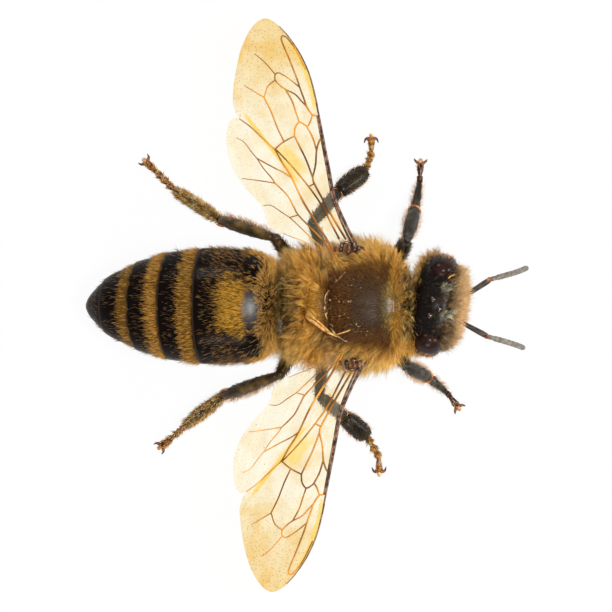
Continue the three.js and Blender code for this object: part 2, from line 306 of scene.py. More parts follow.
def add_soft_box(name, spot_mm, side_mm, watts):
    """A square lamp that looks at the middle of the bee."""
    lamp = bpy.data.lights.new(name, "AREA")
    lamp.size = side_mm * MM
    lamp.energy = watts
    holder = bpy.data.objects.new(name, lamp)
    holder.location = Vector(spot_mm) * MM
    to_bee = Vector((0, 0, FOCUS_HEIGHT)) - Vector(spot_mm)
    holder.rotation_euler = to_bee.to_track_quat("-Z", "Y").to_euler()
    scene.collection.objects.link(holder)


make_floor()
for name, lamp in LAMPS.items():
    add_soft_box(name, *lamp)
world = bpy.data.worlds.new("even_white")
world.use_nodes = True
sky = world.node_tree.nodes["Background"].inputs
sky["Color"].default_value = WHITE
sky["Strength"].default_value = WORLD_STRENGTH
scene.world = world
scene.view_settings.view_transform = "Standard"
print("stage ready")

# %% [markdown]
# ## Helpers for shapes
# Most of a bee is round or spindle shaped. Two helpers make those from Blender's own sphere:
# `blob` squares and stretches it, and `spindle` draws it out from one joint to the next with
# a radius that changes on the way. `finish_piece` turns a bmesh into an object in metres.

# %% Blobs, spindles and finished pieces
# The round end of a spindle is this part of its radius long.
DOME = 0.6


def blob(bm, centre, half, square, frame_matrix=None, fineness=4, shape=None):
    """A sphere stretched to half sizes; square 2 is an ellipsoid and more is boxier."""
    made = bmesh.ops.create_icosphere(bm, subdivisions=fineness, radius=1)
    centre = Vector(centre)
    for vert in made["verts"]:
        point = vert.co.copy()
        size = sum(abs(part) ** square for part in point) ** (1 / square)
        point /= size
        scale = shape(point) if shape else (1, 1, 1)
        moved = Vector([point[k] * half[k] * scale[k] for k in range(3)]) + centre
        vert.co = frame_matrix @ moved if frame_matrix else moved
    return made["verts"]


def spindle(bm, start, end, radii, flatness=1.0, sides=20, rings=20):
    """A domed piece from start to end. It is radii high and radii times flatness wide."""
    start = Vector(start)
    axis = Vector(end) - start
    length = axis.length
    axis.normalize()
    across = Vector((0, 0, 1)).cross(axis)
    if across.length < 1e-3:
        across = Vector((0, 1, 0))
    across.normalize()
    upwards = axis.cross(across)
    made = bmesh.ops.create_uvsphere(bm, u_segments=sides, v_segments=rings, radius=1)
    steps = np.linspace(0, 1, len(radii))
    for vert in made["verts"]:
        x, y, z = vert.co
        turn = math.acos(max(-1, min(1, z)))
        share = 1 - turn / math.pi
        radius = float(np.interp(share, steps, radii))
        edge = min(share, 1 - share) * length
        rounding = min(1, edge / (DOME * radius)) if radius > 0 else 1
        radius *= math.sqrt(max(0, 1 - (1 - rounding) ** 2))
        flat = math.hypot(x, y)
        cosine, sine = (x / flat, y / flat) if flat > 1e-6 else (0, 0)
        spot = start + axis * share * length
        vert.co = spot + (across * cosine * radius * flatness + upwards * sine * radius)
    return made["verts"]


def finish_piece(name, bm, material, nodes=()):
    """Turns a bmesh in millimetres into a piece in metres that stands for its CAD nodes."""
    bmesh.ops.recalc_face_normals(bm, faces=bm.faces)
    if bm.calc_volume(signed=True) < 0:
        bmesh.ops.reverse_faces(bm, faces=bm.faces)
    bmesh.ops.scale(bm, vec=(MM, MM, MM), verts=bm.verts)
    mesh = bpy.data.meshes.new(name)
    bm.to_mesh(mesh)
    bm.free()
    return add_piece(name, mesh, material, nodes)


def add_piece(name, mesh, material, nodes=()):
    """Puts a finished mesh in the scene, smoothly shaded, as a piece of the bee."""
    mesh.polygons.foreach_set("use_smooth", [True] * len(mesh.polygons))
    piece = bpy.data.objects.new(name, mesh)
    scene.collection.objects.link(piece)
    mesh.materials.append(material)
    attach(piece, "root")
    if nodes:
        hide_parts(*nodes)
    mesh.calc_loop_triangles()
    print(f"{name}: {len(mesh.loop_triangles)} triangles")
    return piece


# %% [markdown]
# Soft joins between blobs come from a voxel remesh: overlapping closed shapes are turned into
# one skin, and a little smoothing rounds the creases where they meet.

# %% One skin from many blobs
def merge_skin(bm, voxel, smoothing):
    """The outer skin of all the shapes in a bmesh, as a new bmesh."""
    mesh = bpy.data.meshes.new("joined")
    bm.to_mesh(mesh)
    bm.free()
    holder = bpy.data.objects.new("joined", mesh)
    scene.collection.objects.link(holder)
    remesh = holder.modifiers.new("voxels", "REMESH")
    remesh.mode = "VOXEL"
    remesh.voxel_size = voxel
    smooth = holder.modifiers.new("smooth", "SMOOTH")
    smooth.factor = 0.5
    smooth.iterations = smoothing
    evaluated = holder.evaluated_get(bpy.context.evaluated_depsgraph_get())
    skin = bmesh.new()
    skin.from_mesh(evaluated.to_mesh())
    evaluated.to_mesh_clear()
    bpy.data.objects.remove(holder)
    bpy.data.meshes.remove(mesh)
    return skin


# %% [markdown]
# Long thin things such as veins, claws and feelers start as curves with a round section. The
# curve is made a mesh at once, so the piece is ordinary geometry.

# %% Rods along curves
def through(points, count):
    """A smooth line through the points (Catmull-Rom), as an array of count places."""
    knots = np.array(points, float)
    ends = np.vstack([2 * knots[0] - knots[1], knots, 2 * knots[-1] - knots[-2]])
    places = np.linspace(0, len(knots) - 1, count)
    index = np.minimum(places.astype(int), len(knots) - 2)
    part = (places - index)[:, None]
    before, first, second, after = (ends[index + k] for k in range(4))
    return 0.5 * (2 * first + (second - before) * part
                  + (2 * before - 5 * first + 4 * second - after) * part ** 2
                  + (3 * first - before - 3 * second + after) * part ** 3)


def rods(bm, paths, resolution=2):
    """Adds round closed rods; each path is a list of (x, y, z, radius)."""
    curve = bpy.data.curves.new("rods", "CURVE")
    curve.dimensions = "3D"
    curve.bevel_depth = 1.0
    curve.bevel_resolution = resolution
    curve.use_fill_caps = True
    for path in paths:
        spline = curve.splines.new("POLY")
        spline.points.add(len(path) - 1)
        for point, (x, y, z, radius) in zip(spline.points, path):
            point.co = (x, y, z, 1)
            point.radius = radius
    holder = bpy.data.objects.new("rods", curve)
    scene.collection.objects.link(holder)
    mesh = bpy.data.meshes.new_from_object(
        holder.evaluated_get(bpy.context.evaluated_depsgraph_get()))
    bm.from_mesh(mesh)
    bpy.data.objects.remove(holder)
    bpy.data.curves.remove(curve)
    bpy.data.meshes.remove(mesh)


# %% [markdown]
# ## Markings
# Skin and hair have to agree: where the skin is golden the hair on it is golden too. So there
# is one recipe for the markings, which takes a spot on the bee and gives a colour. The skin
# passes the place of its own surface, and a hair passes the place of its root.

# %% Measures of the abdomen
# The abdomen's middle line is an arc that curves down to the tip. A share of 0 is its front.
ARC_FRONT = Vector((-1.24, 0, 3.15))
ARC_RADIUS = 19.7
SLOPE_FRONT = math.radians(4)
SLOPE_RANGE = math.radians(22)
ARC_MIDDLE_X = ARC_FRONT.x + ARC_RADIUS * math.sin(SLOPE_FRONT)
ARC_MIDDLE_Z = ARC_FRONT.z - ARC_RADIUS * math.cos(SLOPE_FRONT)
WIDEST_AT = 0.32
PLATE_ENDS = [0.07, 0.37, 0.54, 0.7, 0.865, 1]
# Where the pale felt bands of the third to fifth plates start and end.
BANDS = ((0.374, 0.448), (0.54, 0.604), (0.695, 0.762))


def girth(share):
    """How wide the abdomen is at a share of its length, where 1 is the widest."""
    if share < WIDEST_AT:
        return max(0, 1 - ((WIDEST_AT - share) / WIDEST_AT) ** 4) ** 0.25
    return max(0, 1 - min(1, (share - WIDEST_AT) / (1 - WIDEST_AT)) ** 1.9) ** 0.625


def on_abdomen(share, across, up):
    """The spot at a share of the length; across and up are in mm from the middle line."""
    slope = SLOPE_FRONT + SLOPE_RANGE * share
    x = ARC_FRONT.x - ARC_RADIUS * (math.sin(slope) - math.sin(SLOPE_FRONT))
    z = ARC_FRONT.z - ARC_RADIUS * (math.cos(SLOPE_FRONT) - math.cos(slope))
    return place(x - up * math.sin(slope), across, z + up * math.cos(slope))


print("length of the abdomen along its arc:", round(ARC_RADIUS * SLOPE_RANGE, 2), "mm")


# %% The share of the abdomen's length, for a shader and for an array of spots
def abdomen_share(x, z):
    """The inverse of on_abdomen: which share of the length a surface spot belongs to."""
    slope = (ARC_MIDDLE_X - x).maths("ARCTAN2", z - ARC_MIDDLE_Z)
    return (slope - SLOPE_FRONT) / SLOPE_RANGE


def share_of(spots):
    """The same for an array of spots."""
    slope = np.arctan2(ARC_MIDDLE_X - spots[:, 0], spots[:, 2] - ARC_MIDDLE_Z)
    return (slope - SLOPE_FRONT) / SLOPE_RANGE


# %% Colours of the coat
GOLD = srgb(255, 184, 66)
PALE_GOLD = srgb(255, 216, 116)
# Painted back-light: the flanks' hair is painted paler, as light shines through it from behind.
PAINTED_BACKLIGHT_ORANGE = srgb(255, 204, 110)
BACK_BROWN = srgb(94, 64, 38)
REAR_BROWN = srgb(124, 72, 18)
GREY_GOLD = srgb(255, 206, 112)
# Painted shade: the grey of the hair in shade beside the waist.
PAINTED_SHADE_GREY = srgb(228, 200, 156)
FACE_GOLD = srgb(244, 198, 138)
DARK_HAIR = srgb(44, 32, 22)
STREAK_BROWN = srgb(118, 74, 24)
WAIST_BROWN = srgb(76, 43, 12)
NEAR_BLACK = srgb(16, 11, 9)


def thorax_markings(recipe, spot):
    """Dark brown on the middle of the back and gold all round it, with some painted light and shade.
    """
    x, y, z = recipe.split(spot)
    ragged = (recipe.grain(spot, 1.4, 3) - 0.5) * 0.9
    side = abs(y) + ragged
    off_middle = side.step(1.2, 1.75)
    behind = (x + ragged * 0.6).step(0.75, 0.2)
    ahead = (x + ragged * 0.4).step(2.9, 3.2)
    low = z.step(4.5, 3.9)
    around = most(off_middle, behind, ahead, low)
    warm = most(side.step(0.6, 1.2), (x + ragged * 0.5).step(1.9, 1.2))
    back = recipe.mix(warm, BACK_BROWN, REAR_BROWN)
    # Painted highlight: the front of the back is painted pale gold where light shines off it.
    glow = x.step(2.6, 3.1) * side.step(1.0, 0.4)
    back = recipe.mix(glow * 0.7, back, PALE_GOLD)
    colour = recipe.mix(around, back, GOLD)
    collar = x.step(3.25, 3.55) * side.step(1.5, 0.9)
    waist = x.step(0.0, -0.5) * side.step(1.3, 0.7)
    colour = recipe.mix(most(collar, waist), colour, WAIST_BROWN)
    # The outer flanks: partly the hair's own orange, partly painted back-light shining through it.
    rim = side.step(1.5, 1.9) * x.step(0.2, 1.2)
    colour = recipe.mix(rim, colour, PAINTED_BACKLIGHT_ORANGE)
    rear_side = side.step(0.9, 1.5) * x.step(0.2, -0.5)
    colour = recipe.mix(rear_side, colour, GREY_GOLD)
    # Painted shade: low beside the waist the hair is painted grey where shade lies.
    shade_grey = side.step(1.35, 1.65) * x.step(0.2, -0.3) * z.step(3.9, 3.4)
    return recipe.mix(shade_grey, colour, PAINTED_SHADE_GREY)


def abdomen_markings(recipe, spot):
    """The colour, and 1 where it is gold: a patch on the second plate and three felt bands."""
    x, y, z = recipe.split(spot)
    ragged = (recipe.grain(spot, 3.4, 4) - 0.5) * 0.05
    share = abdomen_share(x, z) + ragged
    bands = [share.step(start - 0.006, start + 0.004) * share.step(end + 0.01, end - 0.015)
             for start, end in BANDS]
    patch_edge = abs(y) + (recipe.grain(spot, 2.6, 4) - 0.5) * 2.0
    patch = patch_edge.step(1.6, 0.8) * share.step(0.11, 0.14) * share.step(0.28, 0.22)
    gold = most(*bands, patch)
    return recipe.mix(gold, NEAR_BLACK, GOLD), gold


print("markings ready")

# %% [markdown]
# ## The skin of the head and thorax
# On a real bee the head, neck, collar, thorax and the sloping rear end are hard plates with
# hair over them. Here they are blobs melted into one skin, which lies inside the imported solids
# by the depth of the coat, so that no seam shows between them.

# %% Where the head sits
HEAD_MIDDLE = Vector((4.72, 0.03, 2.95))
HEAD_FRAME = (Matrix.Translation(place(*HEAD_MIDDLE))
              @ Matrix.Rotation(math.radians(-11), 4, "Z")
              @ Matrix.Rotation(math.radians(-10), 4, "Y"))


def narrow_chin(point):
    """The face narrows to the jaws, and the back of the head is flat."""
    below = max(0, -point.z)
    ahead = max(0, point.x)
    return (0.72 if point.x < 0 else 1, (1 - 0.34 * below ** 1.5) * (1 - 0.3 * ahead ** 2), 1)


def mirrored(spot, side):
    return Vector((spot[0], spot[1] * BOTH_SIDES[side], spot[2]))


# %% Melt the blobs into one skin
# The flank plates under the wings, and the lobes that carry the legs: middle, half, squareness.
FLANK_BLOBS = (((1.9, 1.3, 3.0), (1.2, 0.72, 1.05), 2.2), ((3.1, 0.75, 2.5), (0.5, 0.6, 0.6), 2.0),
               ((1.3, 0.8, 2.15), (0.6, 0.62, 0.6), 2.0), ((0.2, 0.8, 2.2), (0.6, 0.62, 0.6), 2.0))


def build_skin():
    bm = bmesh.new()
    blob(bm, place(1.9, 0, 3.38), (1.68, 1.98, 1.8), 2.6)
    for side in BOTH_SIDES:
        for middle, half, square in FLANK_BLOBS:
            blob(bm, place(*mirrored(middle, side)), half, square, fineness=3)
    blob(bm, place(0.3, 0, 4.82), (0.46, 1.02, 0.42), 2.3)
    blob(bm, place(0.1, 0, 4.3), (0.5, 1.1, 0.5), 2.0, fineness=3)
    blob(bm, place(0.0, 0, 3.2), (0.95, 1.74, 1.45), 2.3)
    blob(bm, place(3.32, 0, 3.7), (0.42, 1.4, 1.2), 2.2)
    spindle(bm, place(-0.6, 0, 3.1), place(-1.45, 0, 3.12), [0.5, 0.42, 0.4, 0.45])
    neck_end = HEAD_FRAME @ Vector((-0.4, 0, 0.1))
    spindle(bm, place(3.3, 0, 3.3), neck_end, [0.6, 0.5, 0.5, 0.55])
    blob(bm, (0, 0, 0), (1.04, 1.8, 1.48), 3.8, HEAD_FRAME, 5, narrow_chin)
    blob(bm, (0.1, 0, 1.12), (0.5, 0.62, 0.4), 2.2, HEAD_FRAME)
    blob(bm, (0.8, 0, -0.64), (0.36, 0.6, 0.55), 2.4, HEAD_FRAME)
    blob(bm, (0.86, 0, 0.08), (0.18, 0.3, 0.36), 2.2, HEAD_FRAME, 3)
    blob(bm, (0.66, 0, -1.22), (0.16, 0.42, 0.2), 2.6, HEAD_FRAME, 3)
    for side in BOTH_SIDES:
        blob(bm, mirrored((0.16, 1.02, -0.72), side), (0.42, 0.4, 0.7), 2, HEAD_FRAME, 3)
    skin = merge_skin(bm, voxel=0.05, smoothing=6)
    # The groove between the back plate and the scutellum, and those along the back's sides.
    for vert in skin.verts:
        x, y, z = vert.co - shift
        if z > 4.2 and x < 3.4:
            arc = 0.66 + 0.36 * (y / 1.25) ** 2
            groove = math.exp(-((x - arc) / 0.05) ** 2) * (1 if abs(y) < 1.5 else 0)
            seam = math.exp(-((abs(y) - 1.42 - 0.04 * (x - 1.8) ** 2) / 0.045) ** 2)
            line = 0.6 * math.exp(-(y / 0.035) ** 2) * (1 if 1.4 < x < 3.3 else 0)
            vert.co.z -= 0.06 * groove + (0.045 * seam if x > 0.7 else 0) + 0.03 * line
    return skin


skin_mesh = build_skin()
print("skin:", len(skin_mesh.faces), "faces")


# %% Material of the skin
# Painted highlight: the pale grey of the shine on the brow.
FRONS_HIGHLIGHT_GREY = srgb(204, 202, 172)
# Two pale patches of painted highlight stand this far forward, on each side of a middle that is off
# the centre line.
FRONS_FORWARD = 5.06
FRONS_MIDDLE = 0.15
FRONS_ASIDE = 0.52


def painted_frons_highlights(recipe, spot):
    """1 on two pale patches of painted highlight above the roots of the feelers, with ragged edges.
    """
    x, y, z = recipe.split(spot)
    aside = abs(y - FRONS_MIDDLE) - FRONS_ASIDE
    onwards = x - FRONS_FORWARD
    away = (aside * aside + onwards * onwards) / 0.045
    return (away + (recipe.grain(spot, 5, 2) - 0.5) * 1.6).step(1.2, 0.5) * z.step(3.2, 3.6)


def skin_material():
    recipe = Recipe("bee_skin", "hair")
    spot = recipe.position()
    thorax_colour = thorax_markings(recipe, spot)
    x, y, _ = recipe.split(spot)
    on_head = x.step(3.75, 3.95)
    face = x.step(5.5, 5.9)
    head_colour = recipe.mix(face * 0.03, NEAR_BLACK, FACE_GOLD)
    # The pale patches on the brow are painted highlight.
    head_colour = recipe.mix(painted_frons_highlights(recipe, spot) * 0.1, head_colour, FRONS_HIGHLIGHT_GREY)
    # Under the coat the skin is darker: partly its own dark shell, partly painted shade beneath the
    # hair.
    under = recipe.mix(0.8, thorax_colour, NEAR_BLACK)
    colour = recipe.mix(on_head, under, head_colour)
    mottled = recipe.grain(spot, 6, 4)
    colour = recipe.mix(mottled.step(0.35, 0.75) * 0.35, colour, NEAR_BLACK)
    pits = recipe.cells(spot, 16.0)
    height = pits.step(0.0, 0.45) * 0.7 + recipe.grain(spot, 40, 2) * 0.3
    normal = recipe.bump(height, 0.012, 0.7)
    roughness = recipe.grain(spot, 9, 3) * 0.2 + 0.22
    # The front of the back has a bare shiny spot.
    forward = (x - 3.02) / 0.32
    aside = y / 0.34
    shine = (forward * forward + aside * aside).step(1.5, 0.4)
    return recipe.paint(
        Base_Color=colour, Roughness=roughness, Normal=normal, Specular_IOR_Level=0.14,
        Coat_Weight=shine, Coat_Roughness=0.36)


SKIN = skin_material()
skin_piece = finish_piece("bee_skin", skin_mesh, SKIN,
                          ["head", "pronotum", "thorax", "scutellum", "propodeum"])

# %% [markdown]
# ## Eyes
# A worker's compound eye is a long bean on the side of the head, with thousands of facets. Its
# outline is bent like a kidney and its surface is smooth and wet-looking. The facets are far
# finer than anything else here, so they are bump; the bean itself is a bent blob. On the crown
# of the head sit three single-lens eyes, small glassy domes.

# %% Eyes
EYE_MIDDLE = (0.06, 1.42, 0.26)
EYE_HALF = (0.67, 0.55, 1.26)


def eye_material():
    recipe = Recipe("compound_eye", "eye_shell")
    spot = recipe.position()
    cloudy = recipe.grain(spot, 1.2, 3)
    colour = recipe.mix(cloudy.step(0.35, 0.7), srgb(24, 14, 13), srgb(58, 36, 30))
    facets = recipe.cells(spot, 38.0)
    normal = recipe.bump(facets.step(0.7, 0.0), 0.002, 0.3)
    return recipe.paint(
        Base_Color=colour, Roughness=cloudy * 0.1 + 0.16, Normal=normal,
        Specular_IOR_Level=0.12)


EYE = eye_material()


def build_eye(side):
    bm = bmesh.new()
    verts = blob(bm, (0, 0, 0), EYE_HALF, 2.15, fineness=5)
    for vert in verts:
        x, y, z = vert.co
        share = z / EYE_HALF[2]
        # The front rim is hollowed a little beside the feeler, and the lower end is slimmer.
        slim = 1 - 0.22 * max(0, -share) ** 1.5
        hollow = 0.16 * math.exp(-((share + 0.05) / 0.4) ** 2) if x > 0 else 0
        vert.co.x = x * (slim - hollow) + 0.1 * share
        vert.co.y = y * slim - 0.1 * share ** 2
        vert.co = HEAD_FRAME @ mirrored(vert.co + Vector(EYE_MIDDLE), side)
    return bm


for side in BOTH_SIDES:
    finish_piece(f"eye_{side}_lens", build_eye(side), EYE, [f"eye_{side}"])


# %% Single-lens eyes on the crown
def ocellus_material():
    recipe = Recipe("small_eyes", "eye_shell")
    spot = recipe.position()
    colour = recipe.mix(recipe.grain(spot, 9, 2), srgb(20, 13, 11), srgb(58, 34, 24))
    return recipe.paint(Base_Color=colour, Roughness=0.08, Coat_Weight=0.8)


OCELLI = ((0.4, -0.12, 1.44), (0.1, 0.19, 1.5), (0.1, -0.43, 1.5))
bm = bmesh.new()
for spot in OCELLI:
    blob(bm, spot, (0.12, 0.12, 0.1), 2, HEAD_FRAME, 3)
finish_piece("ocelli", bm, ocellus_material())

# %% [markdown]
# ## Jaws and tongue
# The jaws are two short spoons that meet under the face. The tongue is folded back below the
# head, a sheath of two long plates round a hairy tongue.

# %% Material of brown shell
def shell_material(name, slot, dark, light, grain=5.0, roughness=0.3, gloss=0.35):
    """Hard shell: dark with lighter, slightly see-through looking parts, and fine pits."""
    recipe = Recipe(name, slot)
    spot = recipe.position()
    patchy = recipe.grain(spot, grain, 4)
    colour = recipe.mix(patchy.step(0.4, 0.72), dark, light)
    pits = recipe.grain(spot, 34, 2)
    normal = recipe.bump(pits, 0.008, 0.5)
    rough = patchy * 0.2 + (roughness - 0.1)
    return recipe.paint(
        Base_Color=colour, Roughness=rough, Normal=normal, Specular_IOR_Level=gloss)


JAW_SHELL = shell_material("jaw_shell", "brown_shell", srgb(46, 24, 14), srgb(128, 72, 34))


# %% Jaws
def build_jaw(side):
    bm = bmesh.new()
    start = HEAD_FRAME @ mirrored((0.34, 0.5, -1.2), side)
    end = HEAD_FRAME @ mirrored((0.5, 0.1, -1.88), side)
    verts = spindle(bm, start, end, [0.18, 0.2, 0.15, 0.16, 0.2, 0.12], 0.7)
    for vert in verts:
        local = HEAD_FRAME.inverted() @ vert.co
        if local.z < -1.62:
            local.x = 0.46 + (local.x - 0.46) * 0.6
            vert.co = HEAD_FRAME @ local
    return bm


for side in BOTH_SIDES:
    finish_piece(f"jaw_{side}", build_jaw(side), JAW_SHELL, [f"mandible_{side}"])


# %% Folded tongue
def build_tongue():
    bm = bmesh.new()
    at = HEAD_FRAME.__matmul__
    spindle(bm, at(Vector((0.1, 0, -1.25))), at(Vector((-0.62, 0, -1.6))),
            [0.2, 0.24, 0.2, 0.14], 1.2)
    for hand in BOTH_SIDES.values():
        spindle(bm, at(Vector((0.2, hand * 0.14, -1.36))), at(Vector((-0.95, hand * 0.1, -1.72))),
                [0.1, 0.14, 0.13, 0.09], 0.7)
        spindle(bm, at(Vector((0.05, hand * 0.2, -1.4))), at(Vector((-0.45, hand * 0.24, -1.5))),
                [0.05, 0.06, 0.05], 0.9)
    spindle(bm, at(Vector((-0.2, 0, -1.6))), at(Vector((-0.98, 0, -1.8))), [0.06, 0.08, 0.06])
    return bm


finish_piece("tongue", build_tongue(), JAW_SHELL, ["proboscis"])

# %% [markdown]
# ## Feelers
# Each feeler has a long first joint, a short elbow piece, and a row of small drums. The drums
# are one rod whose radius dips at every joint.

# %% Feelers
FEELER_PATHS = {
    "left": ((6.8, 1.0, 3.3), (7.75, 1.26, 2.55), (8.3, 1.46, 1.3)),
    "right": ((6.7, -1.15, 3.3), (7.65, -1.42, 2.55), (8.17, -1.6, 1.3)),
}
SCAPE_ROOT = (0.86, 0.36, 0.1)
DRUMS = 11
STEPS_PER_DRUM = 7
DRUM_RADIUS = 0.108
# The first drum and a half of the row are slimmer.
SLIM_SHARE = 0.14
SLIM_RADIUS = 0.09
LINE_STEPS = 200
DRUM_SHELL = shell_material("drum_shell", "leg_shell", srgb(104, 96, 86), srgb(142, 134, 122),
                            7.0, 0.5)
STEM_SHELL = shell_material("stem_shell", "leg_shell", srgb(50, 42, 36), srgb(86, 74, 62), 7.0, 0.4)
ELBOW_SHELL = shell_material("elbow_shell", "brown_shell", srgb(96, 52, 26), srgb(214, 138, 82))


def build_flagellum(side):
    elbow, middle, tip = FEELER_PATHS[side]
    line = through([elbow, middle, tip], LINE_STEPS + 1) + np.array(shift)
    path = []
    total = DRUMS * STEPS_PER_DRUM
    for i in range(total + 1):
        share = i / total
        spot = line[round(share * LINE_STEPS)]
        within = (i % STEPS_PER_DRUM) / STEPS_PER_DRUM
        full = DRUM_RADIUS if share > SLIM_SHARE else SLIM_RADIUS
        dip = 0.9 if i % STEPS_PER_DRUM == 0 else 1.0
        swell = 0.97 + 0.04 * math.sin(math.pi * within)
        radius = full * dip * swell
        if i == 0:
            radius = 0.06
        # The last drum tapers to a blunt point.
        radius *= min(1, math.sqrt((total - i + 0.25) / 6))
        path.append((*spot, radius))
    bm = bmesh.new()
    rods(bm, [path], 4)
    return bm


def build_scape(side):
    bm = bmesh.new()
    root = HEAD_FRAME @ mirrored(SCAPE_ROOT, side)
    elbow = place(*FEELER_PATHS[side][0])
    spindle(bm, root, elbow, [0.1, 0.085, 0.09, 0.1, 0.108, 0.112, 0.1], 1, 24, 28)
    blob(bm, root, (0.16, 0.16, 0.16), 2, None, 3)
    return bm


def build_elbow(side):
    """Three short rings between the stem and the drums."""
    bm = bmesh.new()
    elbow, middle, _ = FEELER_PATHS[side]
    onwards = (Vector(middle) - Vector(elbow)).normalized()
    for step, size in ((-0.07, 0.105), (0.04, 0.085), (0.15, 0.095)):
        blob(bm, place(*(Vector(elbow) + onwards * step)), (size * 0.9, size, size), 2, None, 3)
    return bm


for side in BOTH_SIDES:
    finish_piece(f"feeler_{side}_drums", build_flagellum(side), DRUM_SHELL,
                 [f"antenna_{side}_flagellum"])
    finish_piece(f"feeler_{side}_stem", build_scape(side), STEM_SHELL,
                 [f"antenna_{side}_scape"])
    finish_piece(f"feeler_{side}_elbow", build_elbow(side), ELBOW_SHELL)

# %% [markdown]
# ## Plates of the abdomen
# Six rings overlap like roof tiles, each one's rear edge standing a little above the next. A
# ring is a profile of its back spun round a full turn and then bent to the abdomen's arc. Low
# on the side the back plate overlaps the belly plate, which makes a small step.

# %% Plates
# Half width, height above the middle line and depth below it, without the hair.
BARE_WIDTH = 2.2
BARE_RISE = 1.87
BARE_DROP = 1.78
EDGE_STEP = 0.05
LIP = 0.018
# The middle of the bald spot, a little to the right: a share of the length, and mm aside.
BALD_SHARE = 0.1
BALD_SKEW = 0.15
PLATE_SIDES = 160
PROFILE_STEPS = 18


def plate_profile(start, end, last):
    """(share, radius) from inside the ring's front, along its back, and in behind its edge."""
    profile = []
    for i in range(PROFILE_STEPS + 1):
        share = start + (end - start) * i / PROFILE_STEPS
        rise = EDGE_STEP * (i / PROFILE_STEPS) ** 1.6 * (0 if last else 1)
        slump = 0.03 * math.exp(-(((i / PROFILE_STEPS) - 0.55) / 0.18) ** 2)
        profile.append((share, max(0.0, girth(share) - EDGE_STEP / 2 + (rise - slump * 0.5) / 2)))
    return profile


def build_plate(index):
    start = PLATE_ENDS[index - 1] - 0.02 if index else 0.0
    end = PLATE_ENDS[index]
    last = index == len(PLATE_ENDS) - 1
    profile = plate_profile(start, end, last)
    if not last:
        for onwards, drop in ((0.004, 0.4), (0.005, 1), (-0.01, 2)):
            profile.append((end + onwards, profile[-1][1] - LIP * drop))
    bm = bmesh.new()
    chain = [bm.verts.new((radius, 0, share)) for share, radius in profile]
    edges = [bm.edges.new(pair) for pair in zip(chain, chain[1:])]
    bmesh.ops.spin(bm, geom=chain + edges, cent=(0, 0, 0), axis=(0, 0, 1), angle=2 * math.pi,
                   steps=PLATE_SIDES, use_merge=True)
    bmesh.ops.remove_doubles(bm, verts=bm.verts, dist=1e-6)
    bmesh.ops.holes_fill(bm, edges=[edge for edge in bm.edges if edge.is_boundary], sides=0)
    for vert in bm.verts:
        x, y, share = vert.co
        turn = math.degrees(math.atan2(x, abs(y))) if abs(x) + abs(y) > 1e-6 else 0
        # x is up here; below the flank the belly plates lie deeper.
        tuck = 1 - 0.03 / (1 + math.exp((turn + 24) / 2.0))
        up = x * tuck * (BARE_RISE if x > 0 else BARE_DROP)
        vert.co = on_abdomen(share, y * tuck * BARE_WIDTH, up)
    return bm


def plate_material():
    recipe = Recipe("abdomen_shell", "dark_shell")
    spot = recipe.position()
    x, y, z = recipe.split(spot)
    share = abdomen_share(x, z)
    marks, gold = abdomen_markings(recipe, spot)
    colour = recipe.mix(gold * 0.12, NEAR_BLACK, marks)
    tip = share.step(0.86, 1.0)
    colour = recipe.mix(tip * 0.5, colour, srgb(44, 34, 30))
    rim = most(*[share.step(end - 0.012, end - 0.004) * share.step(end + 0.006, end)
                 for end in PLATE_ENDS[:-1]])
    colour = recipe.mix(rim * 0.4, colour, srgb(84, 62, 44))
    pits = recipe.cells(spot, 11.0)
    height = pits.step(0.0, 0.3) * 0.6 + recipe.grain(spot, 30, 2) * 0.4
    normal = recipe.bump(height, 0.01, 0.55)
    roughness = recipe.grain(spot, 5, 3) * 0.12 + 0.14 + gold * 0.2
    # The first two plates are polished where they have no hair.
    forward = (share - BALD_SHARE) / 0.045
    aside = (y + BALD_SKEW) / 0.7
    bald = (forward * forward + aside * aside).step(1.6, 0.6)
    return recipe.paint(
        Base_Color=colour, Roughness=roughness, Normal=normal, Specular_IOR_Level=0.045,
        Coat_Weight=bald, Coat_Roughness=0.42)


PLATE = plate_material()
for index in range(len(PLATE_ENDS)):
    finish_piece(f"plate_{index + 1}", build_plate(index), PLATE, [f"abdomen_{index + 1}"])

# %% [markdown]
# ## Legs
# Each leg is a chain of joints: hip, trochanter, knee, ankle, heel and toe. A heading says
# which way each piece points on the floor plan and a reach how far it goes; the heights come
# from the kind of leg. The pieces are spindles, thinner at the joints than in the middle.

# %% The stance
HEIGHTS = {
    "fore": (2.1, 1.15, 2.5, 1.05, 0.42, 0.17),
    "middle": (2.0, 1.05, 2.6, 1.2, 0.42, 0.17),
    "hind": (2.0, 1.05, 2.75, 0.95, 0.5, 0.17),
}
# Hip; headings and reaches of coxa, femur, tibia, basitarsus and foot; the share of the foot
# made of small joints; and how far they turn away from the foot's own heading.
STANCE = {
    "fore_left": ((3.35, 0.6), (120, 63, 74, 79, 87), (0.68, 1.46, 1.24, 1.05, 0.75), 0.32, 0),
    "fore_right": ((3.35, -0.45), (-94, -79, -27, -39, -52), (0.5, 1.3, 1.07, 0.94, 0.7), 0.25, 0),
    "middle_left": ((1.42, 0.6), (129, 112.5, 51, 39, 80), (0.9, 1.97, 1.53, 1.4, 1.25), 0.58, -8),
    "middle_right": ((1.42, -0.45), (-134, -96.5, -41.5, -41, -71),
                     (1.18, 2.08, 1.21, 1.24, 1.44), 0.63, 10),
    "hind_left": ((0.13, 0.57), (129, 124, 161, 147, 135), (0.59, 1.84, 2.26, 2.09, 1.54), 0.57, 0),
    "hind_right": ((0.13, -0.45), (-127, -118, -159, -142, -139),
                   (0.62, 1.87, 2.31, 1.91, 1.17), 0.39, 3.5),
}
